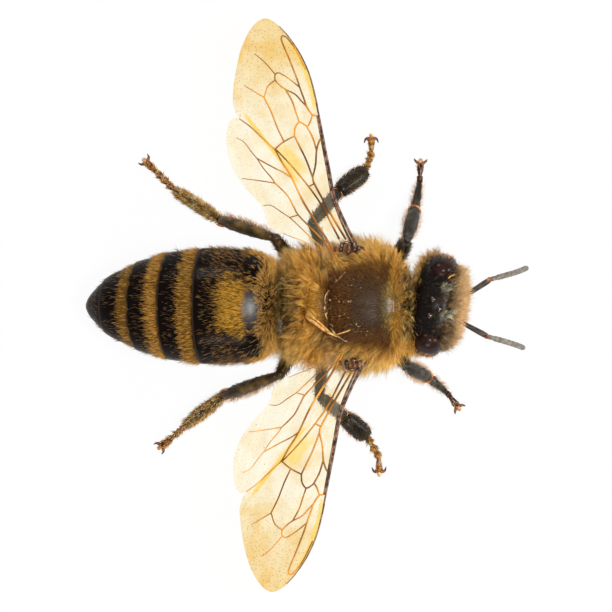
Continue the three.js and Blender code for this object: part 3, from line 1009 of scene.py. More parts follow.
# Bare radii along each piece, and how wide it is for its height.
LEG_SHAPES = {
    "fore": (((0.26, 0.3, 0.24), 1), ((0.17, 0.26, 0.29, 0.29, 0.24), 0.9),
             ((0.16, 0.26, 0.285, 0.275, 0.2), 0.92), ((0.17, 0.175, 0.155, 0.125, 0.1), 0.9)),
    "middle": (((0.28, 0.32, 0.24), 1), ((0.16, 0.25, 0.26, 0.24, 0.2), 0.8),
               ((0.2, 0.27, 0.29, 0.26), 0.8), ((0.27, 0.34, 0.37, 0.36, 0.28), 0.94)),
    "hind": (((0.3, 0.34, 0.26), 1), ((0.17, 0.3, 0.32, 0.27, 0.22), 0.8),
             ((0.24, 0.34, 0.4, 0.42, 0.4, 0.28), 0.6), ((0.19, 0.31, 0.34, 0.32, 0.21), 0.6)),
}
PIECES = ("coxa", "femur", "tibia", "basitarsus")


def kind_of(leg):
    return leg.split("_")[0]


def leg_joints(leg):
    """The six joints of a leg as vectors."""
    hip, headings, reaches, _, _ = STANCE[leg]
    heights = HEIGHTS[kind_of(leg)]
    x, y = hip
    joints = [place(x, y, heights[0])]
    for heading, reach, height in zip(headings, reaches, heights[1:]):
        x += reach * math.cos(math.radians(heading))
        y += reach * math.sin(math.radians(heading))
        joints.append(place(x, y, height))
    return joints


# Dark and light of the shell, for the long pieces and for the feet.
LEG_COLOURS = {
    "fore": (srgb(30, 27, 22), srgb(78, 72, 62)),
    "middle": (srgb(20, 16, 9), srgb(50, 41, 25)),
    "hind": (srgb(50, 37, 14), srgb(112, 86, 42)),
}
FOOT_COLOURS = {
    "fore": (srgb(42, 18, 11), srgb(96, 44, 22)),
    "middle": (srgb(92, 52, 12), srgb(204, 144, 52)),
    "hind": (srgb(62, 26, 9), srgb(198, 110, 38)),
}
LEG_SHELL = {kind: shell_material(f"leg_shell_{kind}", "leg_shell", *colours, 2.5, 0.34, 0.3)
             for kind, colours in LEG_COLOURS.items()}
FOOT_SHELL = {kind: shell_material(f"foot_shell_{kind}", "brown_shell", *colours, 9.0, 0.25)
              for kind, colours in FOOT_COLOURS.items()}
SPUR_SHELL = shell_material("spur_shell", "brown_shell", srgb(150, 78, 34), srgb(244, 178, 108))


# %% Leg pieces
def build_leg_piece(leg, index):
    """One long piece of a leg, with the small joint ball at its inner end."""
    joints = leg_joints(leg)
    radii, flatness = LEG_SHAPES[kind_of(leg)][index]
    bm = bmesh.new()
    spindle(bm, joints[index], joints[index + 1], radii, flatness, 28, 30)
    if index == 1:
        # The trochanter, a short ring between the coxa and the femur.
        direction = (joints[2] - joints[1]).normalized()
        spindle(bm, joints[1] - direction * 0.12, joints[1] + direction * 0.34,
                [0.16, 0.2, 0.19, 0.15], 1, 20, 14)
    else:
        ball = radii[0] * (0.85 if index else 1)
        blob(bm, joints[index], (ball, ball * 0.9, ball), 2, None, 3)
    return bm


def build_spurs(leg):
    """The pale rim and the spurs at the lower end of the shin."""
    joints = leg_joints(leg)
    kind, side = leg.split("_")
    direction = (joints[3] - joints[2]).normalized()
    across = Vector((0, 0, 1)).cross(direction).normalized()
    upwards = direction.cross(across)
    radii, flatness = LEG_SHAPES[kind][2]
    wide = radii[-1] * flatness
    bm = bmesh.new()
    if kind == "hind":
        # A broad toothed lobe stands on the side of the abdomen.
        inner = across * BOTH_SIDES[side]
        start = joints[3] - direction * 0.42 + inner * wide * 1.15 + upwards * 0.12
        spindle(bm, start, start + direction * 0.42 + inner * 0.02, [0.06, 0.1, 0.085, 0.03], 0.6,
                14, 12)
    else:
        rim = []
        for i in range(9):
            turn = math.pi * (i / 8 - 0.5) * 1.1
            spot = joints[3] - direction * (0.14 - 0.12 * math.cos(turn))
            spot += across * math.sin(turn) * wide * 1.3 + upwards * math.cos(turn) * 0.2
            rim.append((*spot, 0.035 if kind == "fore" else 0.02))
        rods(bm, [rim], 3)
    for hand in (-1, 1):
        start = joints[3] - direction * 0.06 + across * hand * wide * 0.6
        end = start + direction * 0.3 + across * hand * 0.07 - Vector((0, 0, 0.12))
        spindle(bm, start, end, [0.03, 0.028, 0.018, 0.006], 1, 8, 8)
    return bm


for leg in STANCE:
    for index, piece in enumerate(PIECES):
        finish_piece(f"{leg}_{piece}_shell", build_leg_piece(leg, index),
                     LEG_SHELL[kind_of(leg)], [f"{leg}_{piece}"])
    finish_piece(f"{leg}_spurs", build_spurs(leg), SPUR_SHELL)

# %% [markdown]
# A foot has three small heart-shaped joints, one long joint, and at its end two hooked claws
# with a soft pad between them. The claws are curved rods that taper to a point, amber where
# they start and black at the tip; each has a second, shorter tooth inside it.

# %% Feet
# The line of a claw in steps of mm sideways and onwards: it leaves the toe sideways and hooks
# back on the middle legs, onwards on the others.
CLAW_LINES = {
    "fore": ((0.0, -0.05), (0.11, 0.02), (0.2, 0.09), (0.25, 0.17)),
    "middle": ((0.0, -0.05), (0.13, 0.0), (0.22, -0.04), (0.27, -0.17)),
    "hind": ((0.0, -0.05), (0.12, 0.01), (0.21, 0.07), (0.24, 0.19)),
}
CLAW_HEIGHTS = (0.19, 0.2, 0.13, 0.035)
SMALL_JOINTS = 3


def foot_bend(leg):
    """Where the small joints end and the long one starts."""
    joints = leg_joints(leg)
    _, headings, reaches, share, turn = STANCE[leg]
    heading = math.radians(headings[4] + turn)
    reach = reaches[4] * share
    bend = joints[4] + Vector((reach * math.cos(heading), reach * math.sin(heading), 0))
    bend.z = joints[5].z + (joints[4].z - joints[5].z) * 0.42
    return bend


def build_foot(leg):
    joints = leg_joints(leg)
    heel, toe = joints[4], joints[5]
    bend = foot_bend(leg)
    bm = bmesh.new()
    for i in range(SMALL_JOINTS):
        start = heel.lerp(bend, i / SMALL_JOINTS - 0.06)
        end = heel.lerp(bend, (i + 1) / SMALL_JOINTS + 0.05)
        spindle(bm, start, end, [0.055, 0.08, 0.115, 0.15, 0.12], 1, 16, 12)
    spindle(bm, bend - (toe - bend) * 0.05, toe, [0.06, 0.085, 0.11, 0.13, 0.138, 0.12], 0.98,
            18, 18)
    return bm


def toe_and_way(leg):
    """The end of the foot, and the way in plan that it points."""
    toe = leg_joints(leg)[5]
    return toe, (toe - foot_bend(leg)).to_2d().normalized()


def build_pad(leg):
    """The soft pad between the claws."""
    toe, out = toe_and_way(leg)
    bm = bmesh.new()
    spindle(bm, toe - Vector((*out, 0)) * 0.05, toe + Vector((out.x, out.y, -0.25)) * 0.2,
            [0.07, 0.075, 0.085, 0.06], 1, 14, 12)
    return bm


def build_claws(leg):
    """Four curved rods: two claws, each with its inner tooth."""
    toe, out = toe_and_way(leg)
    aside = Vector((-out.y, out.x))
    corners = [(*step, height) for step, height in
               zip(CLAW_LINES[kind_of(leg)], CLAW_HEIGHTS)]
    paths = []
    for hand in (-1, 1):
        for scale, size in ((1.0, 0.07), (0.55, 0.04)):
            path = []
            for i, (sideways, onwards, height) in enumerate(through(corners, 10)):
                spot = toe.to_2d() + aside * sideways * hand * scale + out * onwards * scale
                path.append((spot.x, spot.y, height, size * (1 - 0.8 * (i / 9) ** 2)))
            paths.append(path)
    bm = bmesh.new()
    rods(bm, paths, 3)
    return bm


def claw_material():
    recipe = Recipe("claw_shell", "brown_shell")
    spot = recipe.position()
    z = recipe.split(spot)[2]
    black = (z + (recipe.grain(spot, 9, 2) - 0.5) * 0.06).step(0.24, 0.15)
    colour = recipe.mix(black, srgb(140, 68, 24), srgb(22, 14, 11))
    return recipe.paint(Base_Color=colour, Roughness=0.2)


CLAW_SHELL = claw_material()
PAD_SHELL = shell_material("pad_shell", "brown_shell", srgb(176, 124, 56), srgb(244, 216, 156))
for leg in STANCE:
    finish_piece(f"{leg}_foot", build_foot(leg), FOOT_SHELL[kind_of(leg)],
                 [f"{leg}_tarsus"])
    finish_piece(f"{leg}_claws", build_claws(leg), CLAW_SHELL)
    finish_piece(f"{leg}_pad", build_pad(leg), PAD_SHELL)

# %% [markdown]
# ## Wings
# A bee's wing is a clear film held out by a net of veins. The film starts as a grid that is
# pulled out between the wing's front and rear edges, gets fine folds that follow the veins,
# and is thickened into a closed sheet. The veins are rods that lie in the film. Both wings of
# a side are hooked together along the fold, where the hind wing's front edge meets them.

# %% Wing frames
WING_ROOTS = {"left": ((1.6, 2.36, 4.32), 111.4), "right": ((1.84, -2.29, 4.32), -111.2)}
WING_RISE = math.radians(3)
FORE_FRONT = [(-0.5, -0.12), (0, -0.12), (0.72, -0.04), (1.79, -0.03), (2.85, -0.22), (4.04, -0.44),
              (4.69, -0.56), (5.58, -0.72), (6.45, -0.81), (7.29, -0.76), (8.0, -0.6),
              (8.45, -0.43), (8.72, -0.28), (8.89, -0.13), (8.97, 0.0), (8.99, 0.11)]
FORE_REAR = [(-0.5, 0.66), (0.02, 0.69), (1.44, 0.9), (2.96, 1.2), (4.29, 1.41), (4.63, 1.56),
             (5.37, 1.91), (5.96, 2.26), (6.25, 2.27), (6.6, 2.21), (7.45, 1.77), (8.21, 1.25),
             (8.6, 0.87), (8.83, 0.57), (8.95, 0.33), (8.99, 0.15)]
HIND_FRONT = [(-0.5, 0.64), (0.02, 0.71), (1.44, 0.92), (2.96, 1.22), (4.29, 1.43),
              (4.63, 1.58), (5.37, 1.93), (5.9, 2.26)]
HIND_REAR = [(-0.5, 1.15), (0.0, 1.35), (0.4, 1.5), (0.77, 1.8), (1.45, 2.49), (1.8, 2.67),
             (2.05, 2.7), (2.2, 2.64), (2.55, 2.66), (3.0, 2.83), (3.6, 3.05), (4.2, 3.15),
             (4.9, 3.1), (5.45, 2.91), (5.85, 2.65), (5.97, 2.42)]


def wing_height(along, back):
    """Low folds and a slight droop of the film, in mm off the wing's flat plane."""
    fade = min(1, max(0, along / 1.5))
    folds = 0.035 * math.sin(back * 7.5 - along * 0.35) + 0.02 * math.sin(back * 13 + along * 1.1)
    droop = -0.05 * (back / 2) ** 2 - 0.0016 * max(0, along - 4) ** 2.2
    return folds * fade + droop * fade


def on_wing(side, along, back, lift):
    """The spot on a wing; along runs to the tip and back to the rear, in mm."""
    root, heading = WING_ROOTS[side]
    turn = math.radians(heading)
    level = math.cos(WING_RISE)
    out = Vector((math.cos(turn) * level, math.sin(turn) * level, math.sin(WING_RISE)))
    rear = Vector((-math.sin(turn), math.cos(turn), 0)) * BOTH_SIDES[side]
    up = Vector((0, 0, 1))
    return place(*root) + out * along + rear * back + up * (wing_height(along, back) + lift)


# %% Film
FILM_THICKNESS = 0.016
FILM_GRID = (110, 26)
EDGE_STEPS = 400


def build_film(side, front, rear, lift):
    bm = bmesh.new()
    bmesh.ops.create_grid(bm, x_segments=FILM_GRID[0], y_segments=FILM_GRID[1], size=0.5)
    front_line, rear_line = (through(line, EDGE_STEPS + 1) for line in (front, rear))
    for vert in bm.verts:
        index = round((vert.co.x + 0.5) * EDGE_STEPS)
        part = vert.co.y + 0.5
        along, back = front_line[index] * (1 - part) + rear_line[index] * part
        vert.co = on_wing(side, along, back, lift)
    bmesh.ops.recalc_face_normals(bm, faces=bm.faces)
    bmesh.ops.solidify(bm, geom=bm.faces[:], thickness=FILM_THICKNESS)
    return bm


# %% Film material
# Clear, tinted with amber, golden, and dark as in the specks.
FILM_TINTS = ((255, 253, 244), (247, 218, 142), (255, 234, 148), (150, 110, 62))
FILM_GLOSS = 0.035


def film_material(side):
    """Clear film that deepens to amber at the tip; the grain of its tiny hairs shows."""
    recipe = Recipe(f"wing_film_{side}", "wing_film")
    spot = recipe.position()
    root, heading = WING_ROOTS[side]
    turn = math.radians(heading)
    out = (math.cos(turn), math.sin(turn), 0)
    rear = (-math.sin(turn) * BOTH_SIDES[side], math.cos(turn) * BOTH_SIDES[side], 0)
    base = place(*root)

    def measure(direction):
        dot = recipe.node("VectorMath", {"operation": "DOT_PRODUCT"},
                          {0: spot, 1: direction}, "Value")
        return dot - base.dot(Vector(direction))

    along = measure(out)
    back = measure(rear)
    cloudy = recipe.grain(spot, 1.1, 4)
    fine = recipe.grain(spot, 26, 1)
    hind = (back - along * 0.22 - 0.62).step(0.05, 0.25)
    amber = along.step(4.5, 9.2) * 0.42 + cloudy.step(0.4, 0.7) * 0.3 + 0.08
    amber = amber * (1 - hind * 0.45)

    def stripe(off, width, start, end):
        """1 on a strip where off is 0, between two distances along the wing."""
        inside = abs(off).step(width, width * 0.4)
        return inside * along.step(start, start + 0.5) * along.step(end + 0.5, end)

    # Amber runs behind the front edge near the tip, along the hooked fold, and in one cell.
    bow = along - 6.6
    behind_front = stripe(back + 0.7 - bow * bow * 0.085, 0.12, 4.9, 7.6)
    fold = stripe(back - along * 0.3 - 0.22, 0.1, 2.6, 5.6)
    cell = stripe(back - along * 0.3 + 0.1, 0.4, 2.9, 4.0)
    yellow = most(behind_front * 0.7, fold * 0.8, cell * 0.55)
    specks = recipe.cells(spot, 5.0)
    edge = most(along.step(6.5, 8.4), hind * along.step(1.5, 3.5))
    speck = specks.step(0.12, 0.08) * recipe.grain(spot, 2.3, 2).step(0.52, 0.6) * edge
    dots = recipe.cells(spot, 10.0)
    speckle = dots.step(0.34, 0.2) * (0.07 + 0.15 * along.step(4.0, 8.5))
    clear, tinted, golden, dark = (recipe.node("BsdfTransparent", {}, {"Color": srgb(*tint)})
                                   for tint in FILM_TINTS)
    glass = recipe.layer(amber, clear, tinted)
    glass = recipe.layer(yellow, glass, golden)
    glass = recipe.layer(speckle + speck * 0.8, glass, dark)
    height = fine * 0.6 + recipe.grain(spot, 7, 2) * 0.4
    normal = recipe.bump(height, 0.01, 0.5)
    gloss = recipe.surface(
        Base_Color=recipe.mix(amber, srgb(255, 248, 222), srgb(244, 206, 130)),
        Roughness=cloudy * 0.2 + 0.2, Normal=normal, Specular_IOR_Level=0.6)
    return recipe.finish(recipe.layer(FILM_GLOSS, glass, gloss))


FILMS = {side: film_material(side) for side in BOTH_SIDES}
WING_EDGES = {"forewing": (FORE_FRONT, FORE_REAR, 0.01), "hindwing": (HIND_FRONT, HIND_REAR, -0.03)}
for side in BOTH_SIDES:
    for wing, (front, rear, lift) in WING_EDGES.items():
        finish_piece(f"{wing}_{side}_film", build_film(side, front, rear, lift), FILMS[side],
                     [f"{wing}_{side}"])

# %% [markdown]
# The veins make closed cells whose pattern is the same on every honey bee: a long narrow cell
# behind the front edge near the tip, three cells under it, and long cells at the wing's base.
# Each line below runs through the crossings of real veins, and gets a radius from end to end.

# %% Vein pattern
# The thick double vein of the front edge, as far as the dark spot.
EDGE_VEINS = [
    ([(-0.3, -0.12), (0, -0.1), (0.72, -0.02), (1.79, 0), (2.85, -0.19), (4.04, -0.41),
      (4.69, -0.53), (5.3, -0.64)], 0.085, 0.042),
    ([(-0.3, 0.04), (0, 0.03), (0.72, 0.09), (1.79, 0.08), (2.85, -0.11), (4.04, -0.335),
      (4.9, -0.5)], 0.06, 0.05),
    # A thin rim goes on to the tip.
    ([(5.2, -0.625), (5.58, -0.695), (6.45, -0.79), (7.29, -0.745), (8.0, -0.585),
      (8.5, -0.4)], 0.048, 0.024),
]
FORE_VEINS = [
    ([(4.88, -0.5), (5.0, -0.34), (5.35, -0.26), (5.57, -0.27), (6.08, -0.28), (6.45, -0.3),
      (7.28, -0.3), (7.72, -0.285), (7.99, -0.29), (8.11, -0.345), (8.1, -0.43), (7.94, -0.53),
      (7.45, -0.66), (6.65, -0.73)], 0.046, 0.034),
    ([(0.2, 0.18), (1.22, 0.35), (1.83, 0.43), (2.57, 0.52), (2.81, 0.49)], 0.055, 0.045),
    ([(0.3, 0.4), (0.9, 0.47), (1.68, 0.55), (2.49, 0.74), (3.48, 1.06), (4.31, 1.4)],
     0.05, 0.036),
    ([(2.81, 0.49), (3.21, 0.22), (3.69, -0.01), (3.95, -0.2), (4.07, -0.36)], 0.045, 0.045),
    ([(2.81, 0.49), (3.5, 0.48), (4.03, 0.52), (4.49, 0.56)], 0.045, 0.042),
    ([(2.55, 0.74), (2.57, 0.52)], 0.04, 0.04),
    ([(4.31, 1.4), (4.44, 1.0), (4.49, 0.56)], 0.04, 0.04),
    ([(4.49, 0.56), (4.76, 0.43), (4.9, 0.21), (4.74, 0.05), (4.63, 0)], 0.042, 0.042),
    ([(4.63, 0), (4.75, -0.16), (4.95, -0.33)], 0.042, 0.042),
    ([(4.63, 0), (4.19, -0.05), (3.69, -0.01)], 0.042, 0.042),
    ([(5.35, -0.26), (5.62, -0.15), (5.92, -0.03), (6.23, 0.24)], 0.04, 0.036),
    ([(6.23, 0.24), (5.74, 0.17), (5.3, 0.19), (4.9, 0.21)], 0.04, 0.038),
    ([(6.23, 0.24), (6.45, 0.38), (6.69, 0.47), (6.88, 0.39), (6.88, 0.23), (6.56, -0.02),
      (6.09, -0.29)], 0.038, 0.034),
    ([(6.88, 0.39), (7.44, 0.59), (7.88, 0.83)], 0.032, 0.016),
    ([(6.69, 0.47), (6.57, 0.81), (6.24, 1.09)], 0.036, 0.034),
    ([(6.24, 1.09), (6.6, 1.37), (6.92, 1.62)], 0.032, 0.016),
    ([(6.24, 1.09), (5.64, 1.04), (5.0, 1.04), (4.44, 1.0)], 0.036, 0.038),
]
HIND_VEINS = [
    ([(-0.45, 0.72), (0.12, 0.78), (1.22, 0.99), (2.11, 1.15), (3.06, 1.22), (3.77, 1.35),
      (4.29, 1.43), (4.63, 1.59), (5.37, 1.94), (5.85, 2.24)], 0.06, 0.03),
    ([(3.06, 1.22), (3.36, 1.42), (3.66, 1.69), (4.23, 2.17)], 0.036, 0.032),
    ([(5.23, 2.6), (4.96, 2.39), (4.53, 2.27), (4.23, 2.17), (3.81, 2.08), (3.37, 1.93),
      (3.12, 1.87)], 0.016, 0.034),
    ([(3.12, 1.87), (3.41, 2.36), (3.74, 2.96)], 0.034, 0.018),
    ([(3.12, 1.87), (2.55, 1.62), (2.07, 1.55), (1.7, 1.5), (1.14, 1.27), (0.52, 1.01),
      (-0.3, 0.8)], 0.036, 0.042),
    ([(1.7, 1.5), (1.73, 1.81)], 0.03, 0.03),
    ([(2.51, 2.59), (2.4, 2.31), (2.05, 2.06), (1.7, 1.82), (1.27, 1.61), (0.81, 1.4),
      (0.3, 1.18)], 0.018, 0.034),
    ([(1.29, 2.3), (1.02, 2.02), (0.78, 1.74), (0.45, 1.45)], 0.014, 0.024),
]
# Every rod has this part of the radii that are given above.
VEIN_THINNING = 0.75


def build_veins(side, veins, lift):
    bm = bmesh.new()
    paths = []
    for points, first, last in veins:
        line = through(points, 4 + 8 * len(points))
        paths.append([(*on_wing(side, along, back, lift),
                       VEIN_THINNING * (first + (last - first) * i / (len(line) - 1)))
                      for i, (along, back) in enumerate(line)])
    rods(bm, paths)
    return bm


# %% Vein material
def vein_material(name, dark, light, grain):
    """Golden brown, darker in places and lighter towards the tips."""
    recipe = Recipe(name, "wing_film")
    spot = recipe.position()
    y = recipe.split(spot)[1]
    outwards = abs(y).step(5.5, 9.5)
    share = outwards * 0.3 + recipe.grain(spot, grain, 3).step(0.4, 0.64)
    colour = recipe.mix(share, dark, light)
    normal = recipe.bump(recipe.grain(spot, 30, 2), 0.006, 0.5)
    return recipe.paint(
        Base_Color=colour, Roughness=recipe.grain(spot, 8, 2) * 0.2 + 0.35, Normal=normal,
        Specular_IOR_Level=0.25)


VEINS = vein_material("wing_veins", srgb(96, 54, 10), srgb(222, 150, 46), 0.7)
HIND_GOLD = vein_material("hind_wing_veins", srgb(150, 88, 18), srgb(240, 166, 56), 0.7)
EDGE = vein_material("wing_edge", srgb(62, 36, 26), srgb(150, 112, 88), 5.0)
VEIN_SETS = (("forewing", "edge", EDGE_VEINS, 0.012, EDGE),
             ("forewing", "veins", FORE_VEINS, 0.01, VEINS),
             ("hindwing", "veins", HIND_VEINS, -0.03, HIND_GOLD))
for side in BOTH_SIDES:
    for wing, kind, lines, lift, material in VEIN_SETS:
        finish_piece(f"{wing}_{side}_{kind}", build_veins(side, lines, lift), material)

# %% [markdown]
# A small shell scale, the tegula, covers each front wing's root, and a few stout struts behind
# it carry the wing. The scale is a blob and the struts are short spindles, dark and shiny.

# %% Wing roots
# Each strut runs between two spots in plan, at a height, and has a radius in mm.
STRUTS = (((1.16, 2.0), (1.22, 2.36), 4.36, 0.09), ((1.44, 1.9), (1.48, 2.3), 4.46, 0.1),
          ((1.66, 1.96), (1.66, 2.4), 4.46, 0.095), ((1.2, 2.34), (1.6, 2.4), 4.4, 0.06),
          ((0.92, 2.02), (0.98, 2.24), 4.3, 0.06))
# The right wing stands a little further forward.
ROOT_SKEW = {"left": 0.0, "right": 0.2}
ROOT_SHELL = shell_material("root_shell", "brown_shell", srgb(44, 20, 10), srgb(132, 66, 26),
                            6.0, 0.18, 0.8)


def build_wing_root(side):
    bm = bmesh.new()
    blob(bm, place(*mirrored((1.9 + ROOT_SKEW[side] * 0.5, 2.06, 4.36), side)),
         (0.2, 0.2, 0.18), 2.1)
    for start, end, height, size in STRUTS:
        ends = [mirrored((x + ROOT_SKEW[side], y, height), side) for x, y in (start, end)]
        spindle(bm, place(*ends[0]), place(*ends[1]), [size * 0.7, size, size * 0.75, size], 1,
                14, 12)
    return bm


for side in BOTH_SIDES:
    finish_piece(f"wing_root_{side}", build_wing_root(side), ROOT_SHELL, [f"tegula_{side}"])

# %% [markdown]
# ## The coat
# A bee's fur is tens of thousands of separate hairs. Particle hair would be lost when the model
# is exported, so every hair is solid mesh: a three-sided spike of a few triangles. They are far
# too many for operators one by one; arrays of numbers make them all at once. First the roots
# are scattered over a piece's surface, evenly by area and thinned by a cover of 0 to 1.

# %% Scatter roots
def scatter(piece, per_square_mm, cover, seed):
    """Roots and normals of hairs on a piece, in millimetres; cover thins them by place."""
    mesh = piece.data
    mesh.calc_loop_triangles()
    corners = np.empty(len(mesh.loop_triangles) * 3, int)
    mesh.loop_triangles.foreach_get("vertices", corners)
    spots = np.empty(len(mesh.vertices) * 3)
    mesh.vertices.foreach_get("co", spots)
    normals = np.empty(len(mesh.vertices) * 3)
    mesh.vertices.foreach_get("normal", normals)
    corners = corners.reshape(-1, 3)
    triangles = (spots.reshape(-1, 3) / MM)[corners]
    corner_normals = normals.reshape(-1, 3)[corners]
    areas = np.linalg.norm(np.cross(triangles[:, 1] - triangles[:, 0],
                                    triangles[:, 2] - triangles[:, 0]), axis=1) / 2
    random = np.random.default_rng(seed)
    count = int(areas.sum() * per_square_mm)
    chosen = random.choice(len(areas), count, p=areas / areas.sum())
    first, second = random.random((2, count))
    over = first + second > 1
    first[over] = 1 - first[over]
    second[over] = 1 - second[over]
    weights = np.stack([1 - first - second, first, second], axis=1)[:, :, None]
    roots = (triangles[chosen] * weights).sum(axis=1)
    outward = unit((corner_normals[chosen] * weights).sum(axis=1))
    keep = random.random(count) < cover(unplace(roots), outward)
    return roots[keep], outward[keep]


def unit(vectors):
    return vectors / np.maximum(np.linalg.norm(vectors, axis=1, keepdims=True), 1e-9)


def blend(values, start, end):
    """0 below start, 1 above end, and smooth between; end may be the smaller."""
    part = np.clip((values - start) / (end - start), 0, 1)
    return part * part * (3 - 2 * part)


# %% [markdown]
# Each hair leaves the skin at a lift angle, leans along the lie of the coat and bends further
# over towards its tip. Hairs are gathered in small tufts: each belongs to the nearest of some
# chosen hairs, and its tip is drawn towards that one's tip. Every hair has a small patch of
# the UV map at its root's place, so that colours stay right when they are baked.

# %% Grow hairs
PATCH = 0.003
HAIR_SIDES = 3
# Above this height in mm, a hair keeps only this part of its rise.
CEILING = 5.42
BENT_RISE = 0.4
# The part of its lift that a hair loses by its tip, and of its width by the end of its length.
BEND = 0.5
TAPER = 0.45
# How far a root stands in the skin, in mm.
ROOT_DEPTH = 0.01
# Least and most of a hair's length and width, as a part of what its coat is given.
LENGTHS = (0.6, 1.15)
WIDTHS = (0.75, 1.2)
# How much of a hair's tone is its own and how much is its tuft's.
OWN_TONE = 0.55
TUFT_TONE = 0.45


def tuft_pull(roots, tips, tuft_size, random):
    """How far each tip moves to meet the tip of its tuft's leading hair."""
    leaders = random.choice(len(roots), max(1, len(roots) // tuft_size), replace=False)
    tree = KDTree(len(leaders))
    for i, leader in enumerate(leaders):
        tree.insert(roots[leader], i)
    tree.balance()
    nearest = leaders[np.array([tree.find(root)[1] for root in roots])]
    return tips[nearest] + 0.3 * (roots - roots[nearest]) - tips, nearest


# The coat stays this far inside the box of the solids.
INSIDE = 0.006
BOX_LOW, BOX_HIGH = (np.array(corner) / MM for corner in cad_bounds)
BOX_LOW += INSIDE
BOX_HIGH -= INSIDE


def grow(name, roots, normals, lie, length, lift, wrap, material, seed,
         width, wild, tuft_size, pull, rings=2, curl=0.0, stray=0.0):
    """A piece of many hairs. The coat's lie, length and lift are one for all or one per hair.

    curl bows whole tufts sideways; stray is the part of the hairs that leaves its tuft."""
    random = np.random.default_rng(seed)
    count = len(roots)
    lie = np.broadcast_to(lie, roots.shape)
    length = np.broadcast_to(length, count)
    lift = np.broadcast_to(lift, count)
    lie = unit(lie - normals * (lie * normals).sum(axis=1, keepdims=True))
    jitter = random.normal(0, wild, (count, 3))
    angle = np.radians(lift)[:, None]
    start_way = unit(lie * np.cos(angle) + normals * np.sin(angle) + jitter)
    end_angle = angle * (1 - BEND)
    end_way = unit(lie * np.cos(end_angle) + normals * np.sin(end_angle) + jitter * 1.5)
    loose = random.random(count) < stray
    length = (length * random.uniform(*LENGTHS, count) * (1 + 0.2 * loose))[:, None]
    tips = roots + length * (start_way + end_way) / 2
    moved, leader = tuft_pull(roots, tips, tuft_size, random)
    moved *= np.where(loose, 0.1, pull)[:, None]
    tone = random.random(count) * OWN_TONE + random.random(count)[leader] * TUFT_TONE
    bow = np.cross(start_way, normals) * length * curl * random.normal(0, 1, count)[leader, None]
    steps = np.linspace(0, 1, rings + 1)
    side_one = unit(np.cross(start_way, random.normal(0, 1, (count, 3))))
    side_two = np.cross(start_way, side_one)
    thick = width * random.uniform(*WIDTHS, count)[:, None] / 2
    rows = []
    for step in steps[:-1]:
        middle = (roots + length * (start_way * step + (end_way - start_way) * step ** 2 / 2)
                  + moved * step ** 1.6 + 4 * bow * step * (1 - step)
                  - normals * ROOT_DEPTH * (step == 0))
        radius = thick * (1 - TAPER * step)
        for k in range(HAIR_SIDES):
            turn = 2 * math.pi * k / HAIR_SIDES
            rows.append(middle + radius * (side_one * math.cos(turn) + side_two * math.sin(turn)))
    rows.append(tips + moved)
    vertices = np.stack(rows, axis=1)
    vertices[:, :, 2] -= (1 - BENT_RISE) * np.maximum(vertices[:, :, 2] - CEILING, 0)
    vertices = np.clip(vertices, BOX_LOW, BOX_HIGH)
    faces, corner_uv = hair_pattern(rings)
    per_hair = vertices.shape[1]
    all_faces = faces[None] + (np.arange(count) * per_hair)[:, None, None]
    all_uv = wrap(roots)[:, None, None, :] + corner_uv[None] * PATCH
    along = np.concatenate([np.repeat(steps[:-1], HAIR_SIDES), [1.0]])
    mesh = mesh_from_arrays(name, vertices.reshape(-1, 3) * MM, all_faces.reshape(-1, 3),
                            all_uv.reshape(-1, 2))
    add_numbers(mesh, "root", "FLOAT_VECTOR", np.repeat(roots, per_hair, axis=0))
    add_numbers(mesh, "along", "FLOAT", np.tile(along, count))
    add_numbers(mesh, "tone", "FLOAT", np.repeat(tone, per_hair))
    return add_piece(name, mesh, material)


def hair_pattern(rings):
    """The triangles of one hair and where their corners lie in its patch of the UV map."""
    faces = []
    spots = []

    def add(*corners):
        faces.append([ring * HAIR_SIDES + (side % HAIR_SIDES if ring < rings else 0)
                      for side, ring in corners])
        spots.append([(side / HAIR_SIDES, 0.15 + 0.85 * ring / rings) for side, ring in corners])

    faces.append([2, 1, 0])
    spots.append([(1.0, 0.0), (0.5, 0.13), (0.0, 0.0)])
    for ring in range(rings):
        for side in range(HAIR_SIDES):
            if ring < rings - 1:
                add((side, ring), (side + 1, ring), (side + 1, ring + 1))
                add((side, ring), (side + 1, ring + 1), (side, ring + 1))
            else:
                add((side, ring), (side + 1, ring), (side, ring + 1))
    return np.array(faces), np.array(spots)


def mesh_from_arrays(name, vertices, faces, corner_uv):
    mesh = bpy.data.meshes.new(name)
    mesh.vertices.add(len(vertices))
    mesh.vertices.foreach_set("co", vertices.astype(np.float32).ravel())
    mesh.loops.add(faces.size)
    mesh.loops.foreach_set("vertex_index", faces.astype(np.int32).ravel())
    mesh.polygons.add(len(faces))
    mesh.polygons.foreach_set("loop_start", np.arange(0, faces.size, 3, dtype=np.int32))
    mesh.update(calc_edges=True)
    layer = mesh.uv_layers.new(name="OFBake")
    layer.data.foreach_set("uv", corner_uv.astype(np.float32).ravel())
    return mesh


def add_numbers(mesh, name, kind, values):
    attribute = mesh.attributes.new(name, kind, "POINT")
    field = "vector" if kind == "FLOAT_VECTOR" else "value"
    attribute.data.foreach_set(field, values.astype(np.float32).ravel())
